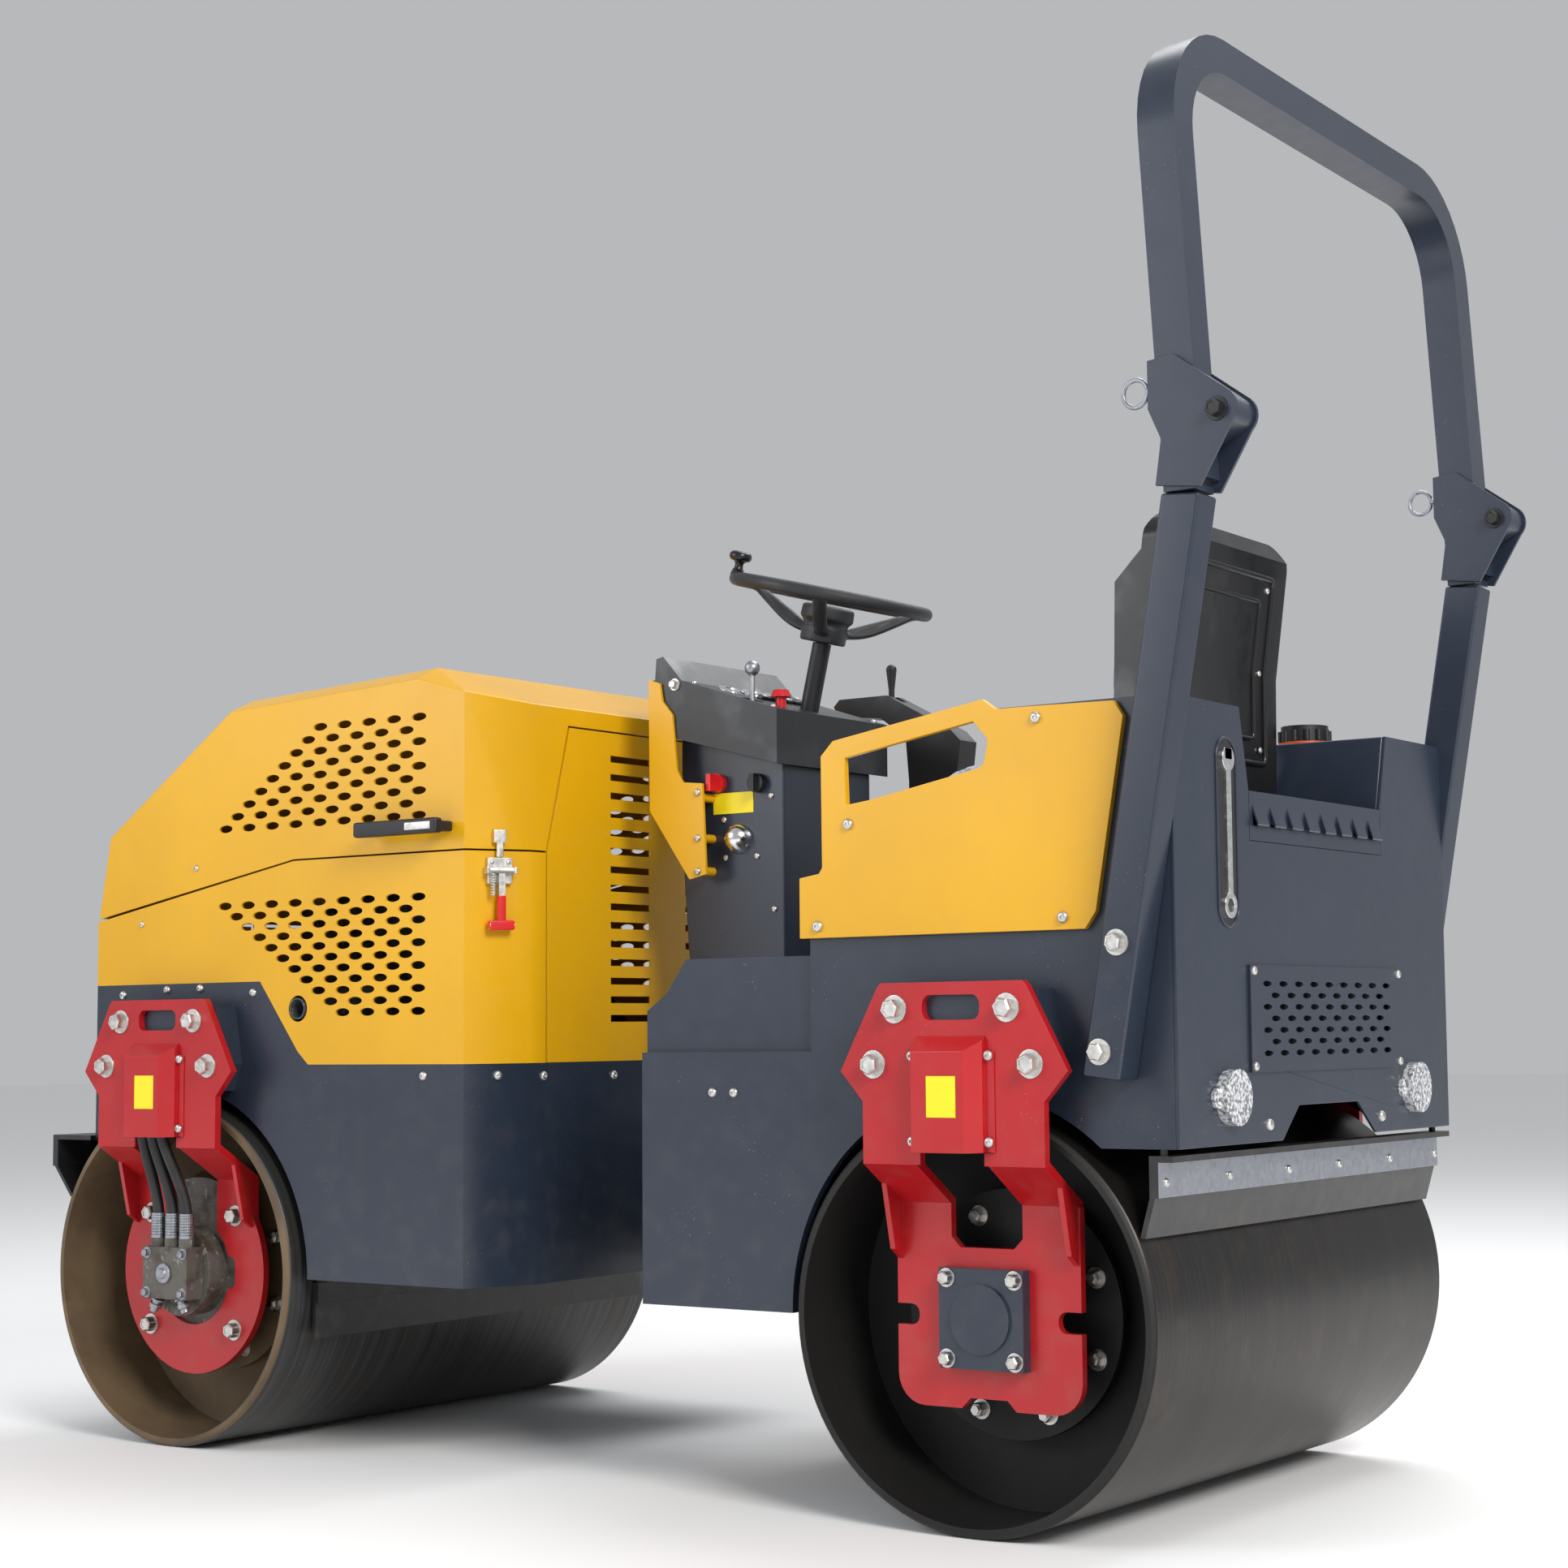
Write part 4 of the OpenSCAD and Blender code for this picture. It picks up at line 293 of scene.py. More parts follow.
@dataclass(frozen=True)
class DrumSteel(Finish):
    """Rolled steel of a drum: dark mill scale outside with rubbed rings, a tint of rust inside."""

    axle: Triple = (0, 0, 0)
    radius: float = 0.28
    inside: Colour = (0.1, 0.07, 0.045)
    polish: float = 0.3

    def dress(self, tree: Tree) -> None:
        """Builds the nodes."""
        about = tree.stretched((1, 0, 1), self.axle)
        reach = tree.wire("ShaderNodeVectorMath", {"operation": "LENGTH"}, {0: about}, "Value")
        outer = tree.step(reach, self.radius - 0.0035, self.radius - 0.0005)
        rings = tree.noise(1, 6, tree.stretched((3, 160, 3), self.axle))
        bands = tree.noise(1, 3, tree.stretched((2, 14, 2), self.axle))
        rust = tree.step(tree.noise(17, 9), 0.5, 0.78)
        rolled = tree.mix(tree.step(rings, 0.3, 0.75), self.colour, shaded(self.colour, 1.9))
        rolled = tree.mix(rust * 0.25, rolled, (0.11, 0.065, 0.035))
        bowl = tree.mix(tree.step(tree.noise(6, 6), 0.3, 0.7), shaded(self.inside, 0.55), self.inside)
        bowl = tree.mix(rust * 0.35, bowl, shaded(self.inside, 1.4))
        colour = tree.mix(outer, bowl, rolled)
        rough = outer * (self.polish - 0.6) + 0.6 + bands * 0.14 + rings * 0.12 - 0.12
        tree.surface(colour, rough, outer * 0.55 + 0.1)
        tree.relief(rings * 0.5 + tree.noise(240, 4), 0.00012)


@dataclass(frozen=True)
class Plating(Finish):
    """Zinc or chrome plating with a faint cloudiness and handling marks."""

    rough: float = 0.32
    grime: float = 0.2

    def dress(self, tree: Tree) -> None:
        """Builds the nodes."""
        cloud = tree.step(tree.noise(120, 6), 0.35, 0.7)
        dirt = tree.step(tree.noise(55, 8), 0.5, 0.7) * self.grime
        colour = tree.mix(cloud, shaded(self.colour, 0.86), self.colour)
        colour = tree.mix(dirt, colour, (0.09, 0.075, 0.06))
        tree.surface(colour, cloud * 0.16 + self.rough + dirt * 0.4, 1 - dirt * 0.8)
        tree.relief(tree.noise(900, 3), 0.000015)


@dataclass(frozen=True)
class Casting(Finish):
    """Sand cast iron or a grimy motor body under thin paint."""

    grime: float = 0.6

    def dress(self, tree: Tree) -> None:
        """Builds the nodes."""
        grain = tree.noise(260, 6)
        dirt = tree.step(tree.noise(34, 9), 0.42, 0.66) * self.grime
        colour = tree.mix(dirt, self.colour, (0.065, 0.05, 0.038))
        colour = tree.mix(tree.step(tree.noise(95, 5), 0.6, 0.72) * 0.5, colour, (0.42, 0.4, 0.37))
        tree.surface(colour, grain * 0.3 + 0.42, 0.35)
        tree.relief(grain + tree.noise(70, 4), 0.0005)


@dataclass(frozen=True)
class Moulding(Finish):
    """Moulded plastic or rubber with a fine grain and a few rubbed places."""

    rough: float = 0.45
    grain: float = 0.00012
    scale: float = 1100

    def dress(self, tree: Tree) -> None:
        """Builds the nodes."""
        rubbed = tree.step(tree.noise(14, 6), 0.48, 0.7)
        colour = tree.mix(rubbed * 0.35, self.colour, shaded(self.colour, 1.6, 0.012))
        tree.surface(colour, rubbed * -0.12 + self.rough + tree.noise(60, 4) * 0.1)
        tree.relief(tree.cells(self.scale), self.grain, 0.6)


@dataclass(frozen=True)
class Cloth(Finish):
    """Mottled woven seat cloth."""

    pale: Colour = (0.46, 0.53, 0.62)

    def dress(self, tree: Tree) -> None:
        """Builds the nodes."""
        inputs = {"Vector": tree.place(), "Scale": 190, "Distortion": 0.6}
        ribs = [tree.wire("ShaderNodeTexWave", {"bands_direction": way}, inputs) for way in "XYZ"]
        weave = ribs[0] * 0.4 + ribs[1] * 0.4 + ribs[2] * 0.4
        flecks = tree.step(tree.noise(130, 6), 0.46, 0.56)
        patches = tree.step(tree.noise(24, 5), 0.38, 0.64)
        colour = tree.mix(flecks * 0.6 + patches * 0.25, self.colour, self.pale)
        tree.surface(colour, weave * 0.12 + 0.8)
        tree.shader.inputs["Sheen Weight"].default_value = 0.35
        tree.relief(weave, 0.0005, 0.8)


@dataclass(frozen=True)
class Lens(Finish):
    """A clear lamp lens over a bright reflector, both broken up by pips; the reflector's glints are painted
    into the colour as pale speckle.
    """

    def dress(self, tree: Tree) -> None:
        """Builds the nodes."""
        pips = tree.cells(150)
        # Painted glints: pale speckle on the dark lens colour stands for the reflector catching light through
        # the pips; the reflector's silver itself is real.
        bright = tree.step(tree.noise(190, 4), 0.42, 0.6)
        tree.surface(tree.mix(bright, (0.16, 0.17, 0.19), self.colour), 0.12 + pips * 0.1, bright * 0.5, 1.0)
        tree.relief(pips, 0.0015, 0.9)


GOLD = PowderCoat("gold_coat", "yellow", (0.75, 0.395, 0.001), shade=(0.67, 0.345, 0.001), rough=0.34)
SLATE = PowderCoat("slate_coat", "navy", (0.021, 0.030, 0.050), shade=(0.018, 0.026, 0.044), rough=0.33,
                   dust=0.12)
SCARLET = PowderCoat("red_coat", "red", (0.46, 0.008, 0.012), shade=(0.37, 0.005, 0.009), rough=0.32,
                     dust=0.16)
BLACK = PowderCoat("black_coat", "black_metal", (0.014, 0.014, 0.016), shade=(0.009, 0.009, 0.010),
                   rough=0.42)
FRONT_STEEL = DrumSteel("front_drum_steel", "drum_steel", (0.05, 0.05, 0.05), axle=tuple(FRONT), polish=0.42,
                        inside=(0.17, 0.115, 0.062))
REAR_STEEL = DrumSteel("rear_drum_steel", "drum_steel", (0.018, 0.016, 0.015), axle=tuple(REAR), polish=0.34,
                       inside=(0.009, 0.0085, 0.008))
ZINC = Plating("zinc_plate", "steel", (0.72, 0.71, 0.68))
CHROME = Plating("bright_plate", "steel", (0.86, 0.86, 0.87), rough=0.12, grime=0.08)
OILY = Casting("oily_casting", "cast", (0.13, 0.12, 0.105), grime=0.9)
IRON = Casting("grey_casting", "cast", (0.075, 0.085, 0.10), grime=0.4)
PLASTIC = Moulding("black_moulding", "black_plastic", (0.013, 0.013, 0.015), rough=0.42)
GLOSSY = Moulding("gloss_moulding", "black_plastic", (0.008, 0.008, 0.009), rough=0.2, grain=0.00003)
GRIP = Moulding("wheel_grip", "black_plastic", (0.02, 0.021, 0.024), rough=0.5, grain=0.0002, scale=700)
RUBBER = Moulding("hose_rubber_skin", "hose_rubber", (0.014, 0.014, 0.015), rough=0.5, grain=0.0002,
                  scale=900)
RED_PLASTIC = Moulding("red_moulding", "red_plastic", (0.62, 0.012, 0.014), rough=0.28, grain=0.00002)
DULL = Plating("dull_plate", "steel", (0.42, 0.44, 0.48), rough=0.34, grime=0.25)
CONSOLE = Moulding("console_moulding", "black_plastic", (0.016, 0.018, 0.022), rough=0.34, grain=0.00005)
ORANGE_SEAL = Moulding("orange_seal", "red_plastic", (0.72, 0.09, 0.012), rough=0.45)
PLATE = Moulding("yellow_plate", "yellow", (0.92, 0.74, 0.01), rough=0.35, grain=0.00001)
PIPING = Moulding("seat_piping", "seat_cloth", (0.05, 0.065, 0.09), rough=0.6, grain=0.0002, scale=900)
CLOTH = Cloth("mottled_cloth", "seat_cloth", (0.14, 0.185, 0.26))
LENS = Lens("lamp_lens", "lamp", (0.93, 0.94, 0.95))


# How pieces are taken over, cut, rounded and finished


class Bench:
    """Tools that every sub-assembly uses."""

    @staticmethod
    def pick(*pieces: Piece) -> None:
        """Selects only these pieces; the first is active."""
        bpy.ops.object.select_all(action="DESELECT")
        for piece in pieces:
            piece.select_set(True)
        bpy.context.view_layer.objects.active = pieces[0]

    @staticmethod
    def modify(piece: Piece, kind: str, **settings: object) -> None:
        """Adds a modifier and applies it."""
        Bench.pick(piece)
        made = piece.modifiers.new(kind.lower(), kind)
        for key, value in settings.items():
            setattr(made, key, value)
        bpy.ops.object.modifier_apply(modifier=made.name)

    @staticmethod
    def put(name: str, data: bpy.types.ID) -> Piece:
        """Makes an object from its data and links it to the scene."""
        made = bpy.data.objects.new(name, data)
        bpy.context.scene.collection.objects.link(made)
        return made

    @staticmethod
    def primitive(add: Callable[..., object], **settings: object) -> Piece:
        """Adds a primitive and puts its place into its mesh."""
        bpy.ops.object.select_all(action="DESELECT")
        add(**settings)
        made = bpy.context.object
        Bench.settle(made)
        return made

    @staticmethod
    def edit(piece: Piece, kind: str = "FACE") -> None:
        """Opens a piece in edit mode with nothing selected."""
        Bench.pick(piece)
        bpy.ops.object.mode_set(mode="EDIT")
        bpy.ops.mesh.select_mode(type=kind)
        bpy.ops.mesh.select_all(action="DESELECT")

    @staticmethod
    def shut() -> None:
        """Goes back to object mode."""
        bpy.ops.object.mode_set(mode="OBJECT")

    @staticmethod
    def weld() -> None:
        """Welds the points that coincide, turns the faces outwards and goes back to object mode."""
        bpy.ops.mesh.select_all(action="SELECT")
        bpy.ops.mesh.remove_doubles(threshold=WELD)
        bpy.ops.mesh.normals_make_consistent(inside=False)
        Bench.shut()

    @staticmethod
    def pull(height: float) -> None:
        """Extrudes the selected faces along Z, by millimetres."""
        bpy.ops.mesh.extrude_region_move(TRANSFORM_OT_translate={"value": (0, 0, height * MM)})

    @staticmethod
    def faces(piece: Piece, test: Callable[[Vector, Vector], bool]) -> None:
        """Selects the faces whose middle and normal pass a test, and stays in edit mode."""
        Bench.edit(piece)
        Bench.shut()
        for face in piece.data.polygons:
            face.select = test(face.center, face.normal)
        bpy.ops.object.mode_set(mode="EDIT")

    @staticmethod
    def round_off(piece: Piece, test: Callable[[Vector, Vector], bool], width: float, steps: int,
                  **more: bool) -> None:
        """Bevels the edges whose two ends pass a test, by a width in millimetres."""
        Bench.edit(piece, "EDGE")
        Bench.shut()
        points = piece.data.vertices
        for edge in piece.data.edges:
            edge.select = test(points[edge.vertices[0]].co, points[edge.vertices[1]].co)
        bpy.ops.object.mode_set(mode="EDIT")
        bpy.ops.mesh.bevel(offset=width * MM, segments=steps, **more)
        Bench.shut()

    @staticmethod
    def soften(piece: Piece, width: float, steps: int, **more: str) -> None:
        """Rounds all sharp edges by a width in millimetres."""
        Bench.modify(piece, "BEVEL", width=width * MM, segments=steps, limit_method="ANGLE",
                     angle_limit=math.radians(CORNER), **more)

    @staticmethod
    def adopt(node: str, round_by: float = 0.0, steps: int = 2, merge: bool = True) -> Piece:
        """Takes a copy of a CAD node, merges its flat triangles and rounds its edges.

        Args:
            node: the CAD node's name.
            round_by: the width of the rounding, in millimetres.
            steps: the rounding's segments.
            merge: whether triangles in one plane become one face.

        Returns:
            The copy, at the origin.
        """
        piece = Bench.put("made_" + node, frame["nodes"][node].data.copy())
        piece.data.materials.clear()
        Bench.pick(piece)
        if piece.data.has_custom_normals:
            bpy.ops.mesh.customdata_custom_splitnormals_clear()
        bpy.ops.object.mode_set(mode="EDIT")
        bpy.ops.mesh.select_all(action="SELECT")
        bpy.ops.mesh.remove_doubles(threshold=2 * WELD)
        if merge:
            bpy.ops.mesh.dissolve_limited(angle_limit=math.radians(0.6))
        Bench.shut()
        if round_by > 0:
            Bench.soften(piece, round_by, steps, miter_outer="MITER_ARC")
        return piece

    @staticmethod
    def cut(piece: Piece, cutter: Piece) -> None:
        """Cuts a cutter out of a piece and deletes the cutter."""
        Bench.modify(piece, "BOOLEAN", operation="DIFFERENCE", solver="EXACT", object=cutter)
        bpy.data.objects.remove(cutter)

    @staticmethod
    def stamp(master: Piece, places: Iterable[Matrix], name: str) -> Piece:
        """Copies a master to many places as one piece and deletes the master.

        Args:
            master: the finished first one, drawn about the origin.
            places: where each copy goes.
            name: the piece's name.

        Returns:
            One object with all the copies.
        """
        copies = []
        for place in places:
            twin = Bench.put(name, master.data.copy())
            twin.data.transform(place)
            copies.append(twin)
        bpy.data.objects.remove(master)
        return Bench.join(copies, name)

    @staticmethod
    def join(pieces: Sequence[Piece], name: str) -> Piece:
        """Joins pieces into one with a name."""
        Bench.pick(*pieces)
        if len(pieces) > 1:
            bpy.ops.object.join()
        pieces[0].name = name
        return pieces[0]

    @staticmethod
    def settle(piece: Piece) -> None:
        """Puts a piece's place into its mesh."""
        Bench.pick(piece)
        bpy.ops.object.transform_apply(location=True, rotation=True, scale=True)

    @staticmethod
    def finish(piece: Piece, body: str, finish: Finish, stands_for: Sequence[str] = (),
               smooth: float = PLAIN_SMOOTH, name: str = "") -> Piece:
        """Smooths, paints and hangs a piece on its body.

        Args:
            piece: the piece.
            body: the body it rides on.
            finish: its finish.
            stands_for: the CAD nodes that it replaces.
            smooth: the angle, in degrees, below which edges look smooth.
            name: a new name, or nothing to keep it.

        Returns:
            The piece.
        """
        Bench.settle(piece)
        if name:
            piece.name = name
        Bench.pick(piece)
        bpy.ops.object.shade_smooth_by_angle(angle=math.radians(smooth))
        Bench.modify(piece, "WEIGHTED_NORMAL", keep_sharp=True)
        if not piece.data.materials:
            piece.data.materials.append(finish.make())
        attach(piece, body)
        if stands_for:
            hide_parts(*stands_for)
        LOG.info("%s: %d faces on %s", piece.name, len(piece.data.polygons), body)
        return piece

    @staticmethod
    def take_over(node: str, finish: Finish, round_by: float = 0.0, steps: int = 2,
                  smooth: float = PLAIN_SMOOTH) -> Piece:
        """Adopts a CAD node, rounds it, finishes it and lets it stand for the node."""
        return Bench.finish(Bench.adopt(node, round_by, steps), BODY_OF[node], finish, [node], smooth)

    @staticmethod
    def take_all(*rows: tuple) -> None:
        """Takes over several CAD nodes; a row holds what take_over is given."""
        for row in rows:
            Bench.take_over(*row)


def facing(where: Vector, normal: Sequence[float], size: float = 1.0, turn: float = 0.0) -> Matrix:
    """Gives a matrix that puts something drawn along +Z at a place, along a normal.

    Args:
        where: the place, in metres.
        normal: the direction that +Z takes.
        size: a scale.
        turn: a turn about the normal, in degrees.

    Returns:
        The matrix.
    """
    tilt = Vector(normal).to_track_quat("Z", "Y").to_matrix().to_4x4()
    about = Matrix.Rotation(math.radians(turn), 4, "Z")
    return Matrix.Translation(where) @ tilt @ about @ Matrix.Scale(size, 4)


class Head(Enum):
    """Kinds of fasteners."""

    HEX = "hex"
    DOME = "dome"
    NUT = "nut"


def fastener(kind: Head) -> Piece:
    """Makes one fastener of radius 1 mm, standing on the XY plane.

    Args:
        kind: which one.

    Returns:
        The fastener at the origin.
    """
    sides = 14 if kind is Head.DOME else 6
    tall = {Head.HEX: 0.95, Head.DOME: 0.35, Head.NUT: 1.1}[kind] * MM
    lift = 0.0 if kind is Head.DOME else 0.22 * MM
    head = Bench.primitive(bpy.ops.mesh.primitive_cylinder_add, vertices=sides, radius=MM, depth=tall,
                           location=(0, 0, lift + tall / 2))
    Bench.faces(head, lambda centre, normal: normal.z > 0.9)
    if kind is Head.DOME:
        for rise, share in ((0.26, 0.82), (0.14, 0.68)):
            Bench.pull(rise)
            bpy.ops.transform.resize(value=(share, share, 1), center_override=(0, 0, 0))
        bpy.ops.mesh.inset(thickness=0.2 * MM)
        Bench.pull(-0.3)
        Bench.shut()
        return head
    Bench.pull(0.16)
    bpy.ops.transform.resize(value=(0.84, 0.84, 1), center_override=(0, 0, 0))
    bpy.ops.mesh.inset(thickness=0.16 * MM)
    Bench.pull(-0.1 if kind is Head.HEX else 0.4)
    Bench.shut()
    washer = Bench.primitive(bpy.ops.mesh.primitive_cylinder_add, vertices=20, radius=1.42 * MM, depth=lift,
                             location=(0, 0, lift / 2))
    Bench.round_off(washer, lambda a, b: min(a.z, b.z) > 0.9 * lift, 0.08, 2)
    return Bench.join([head, washer], "fastener")


@dataclass
class Fixings:
    """Gathers the places of small fasteners and makes them, one piece for each body, kind and finish."""

    places: dict[tuple[str, Head, Finish], list[Matrix]] = field(default_factory=dict)
    turn_step: float = 37.0
    group_step: float = 11.0

    def add(self, body: str, kind: Head, spots: Iterable[Vector], normal: Sequence[float], radius: float,
            finish: Finish = ZINC) -> None:
        """Adds fasteners.

        Args:
            body: the body they ride on.
            kind: which one.
            spots: the places on the surface.
            normal: the surface's normal.
            radius: the head's radius, in millimetres.
            finish: their finish.
        """
        group = self.places.setdefault((body, kind, finish), [])
        for count, spot in enumerate(spots):
            turn = self.turn_step * count + self.group_step * len(self.places)
            group.append(facing(spot, normal, radius, turn))

    def row(self, body: str, kind: Head, side: int, out: float, radius: float, *marks: Pair,
            finish: Finish = ZINC) -> None:
        """Adds fasteners that face sideways.

        Args:
            body: the body they ride on.
            kind: which one.
            side: -1 on the left and 1 on the right.
            out: the distance of their surface from the middle, in millimetres.
            radius: the head's radius, in millimetres.
            marks: the place along the machine, from the body's axle, and the height of each.
            finish: their finish.
        """
        at = at_rear if body == "rear_module" else at_front
        self.add(body, kind, [at(x, side * out, z) for x, z in marks], (0, side, 0), radius, finish)

    def build(self) -> None:
        """Makes them all."""
        for (body, kind, finish), places in self.places.items():
            name = f"{body}_{kind.value}_{finish.name}"
            Bench.finish(Bench.stamp(fastener(kind), places, name), body, finish, smooth=HEAD_SMOOTH)


def slab(low: Vector, high: Vector, round_by: float = 0.0, steps: int = 2) -> Piece:
    """Makes a rounded block from its lowest to its highest corner."""
    piece = Bench.primitive(bpy.ops.mesh.primitive_cube_add, size=1, location=(low + high) / 2,
                            scale=high - low)
    if round_by:
        Bench.modify(piece, "BEVEL", width=round_by * MM, segments=steps)
    return piece


def turned(profile: Sequence[Pair], place: Matrix, sides: int, closed: bool = False) -> Piece:
    """Turns a profile of radius and height, in millimetres, about the Z axis of a place.

    Args:
        profile: the points from the foot to the top.
        place: where the axis stands.
        sides: the steps around.
        closed: whether the last point joins the first.

    Returns:
        The turned piece, its place in its mesh.
    """
    mesh = bpy.data.meshes.new("profile")
    points = [(radius * MM, 0, height * MM) for radius, height in profile]
    lines = [(i, i + 1) for i in range(len(points) - 1)]
    if closed:
        lines.append((len(points) - 1, 0))
    mesh.from_pydata(points, lines, [])
    piece = Bench.put("turned", mesh)
    Bench.pick(piece)
    bpy.ops.object.mode_set(mode="EDIT")
    bpy.ops.mesh.select_all(action="SELECT")
    bpy.ops.mesh.spin(steps=sides, angle=2 * math.pi, center=(0, 0, 0), axis=(0, 0, 1))
    Bench.weld()
    piece.data.transform(place)
    return piece


def swept(points: Sequence[Vector], radius: float, sides: int, cyclic: bool = False) -> Piece:
    """Makes a smooth round bar along points.

    Args:
        points: the route, in metres.
        radius: the bar's radius, in millimetres.
        sides: the resolution of the bar's section.
        cyclic: whether it closes on itself.

    Returns:
        The bar as a mesh.
    """
    curve = bpy.data.curves.new("route", "CURVE")
    curve.dimensions = "3D"
    curve.bevel_depth = radius * MM
    curve.bevel_resolution = sides
    curve.use_fill_caps = True
    curve.resolution_u = 10
    spline = curve.splines.new("NURBS")
    spline.points.add(len(points) - 1)
    for point, spot in zip(spline.points, points):
        point.co = (*spot, 1)
    spline.use_endpoint_u = not cyclic
    spline.use_cyclic_u = cyclic
    spline.order_u = 4
    piece = Bench.put("swept", curve)
    Bench.pick(piece)
    bpy.ops.object.convert(target="MESH")
    piece = bpy.context.object
    bpy.ops.object.mode_set(mode="EDIT")
    Bench.weld()
    return piece


@dataclass
class Studio:
    """The pale floor, the soft lights and the camera at the photograph's angle."""

    eye: Triple = (2.6513, -3.4374, 0.6622)
    heading: float = 34.24
    rise: float = 4.99
    roll: float = -0.63
    lens: float = 61.54
    shift: Pair = (-0.0751, 0.0077)
    sensor: float = 36.0
    sight: float = 200.0
    floor: float = 60.0
    paper: Colour = (0.95, 0.95, 0.95)
    sky: Colour = (0.95, 0.97, 1.0)
    sky_power: float = 0.5
    aim: Triple = (0, 0, 0.8)
    lamps: tuple[tuple, ...] = (("key", (6.2, -3.4, 4.6), 2.4, 430, (1.0, 0.975, 0.94)),
                                ("fill", (-3.6, -5.2, 3.2), 3.4, 130, (0.95, 0.97, 1.0)),
                                ("top", (0.5, 2.5, 5.5), 4.0, 200))

    def camera(self) -> None:
        """Makes the camera."""
        heading, rise, roll = (math.radians(angle) for angle in (self.heading, self.rise, self.roll))
        level = math.cos(rise)
        ahead = Vector((-math.sin(heading) * level, math.cos(heading) * level, math.sin(rise)))
        right = ahead.cross(Vector((0, 0, 1))).normalized()
        up = right.cross(ahead)
        side = right * math.cos(roll) + up * math.sin(roll)
        head = up * math.cos(roll) - right * math.sin(roll)
        turn = Matrix((side, head, -ahead)).transposed().to_4x4()
        data = bpy.data.cameras.new("photo_camera")
        data.lens = self.lens
        data.sensor_width = self.sensor
        data.sensor_fit = "HORIZONTAL"
        data.shift_x, data.shift_y = self.shift
        data.clip_end = self.sight
        camera = Bench.put("photo_camera", data)
        camera.matrix_world = Matrix.Translation(self.eye) @ turn
        bpy.context.scene.camera = camera

    def light(self, name: str, where: Triple, size: float, power: float, tint: Colour = (1, 1, 1)) -> None:
        """Makes a square soft light that looks at the machine."""
        data = bpy.data.lights.new(name, "AREA")
        data.size = size
        data.energy = power
        data.color = tint
        lamp = Bench.put(name, data)
        aim = Vector(self.aim) - Vector(where)
        lamp.matrix_world = Matrix.Translation(where) @ aim.to_track_quat("-Z", "Y").to_matrix().to_4x4()

    def build(self) -> None:
        """Sets up the whole studio."""
        ground = Bench.primitive(bpy.ops.mesh.primitive_plane_add, size=self.floor)
        ground.name = "studio_floor"
        paper = Tree("studio_paper")
        paper.surface(self.paper, 0.9)
        ground.data.materials.append(paper.material)
        world = bpy.data.worlds.new("studio_world")
        bpy.context.scene.world = world
        world.use_nodes = True
        sky = world.node_tree.nodes["Background"]
        sky.inputs["Color"].default_value = (*self.sky, 1)
        sky.inputs["Strength"].default_value = self.sky_power
        bpy.context.scene.view_settings.view_transform = "Standard"
        for lamp in self.lamps:
            self.light(*lamp)
        self.camera()


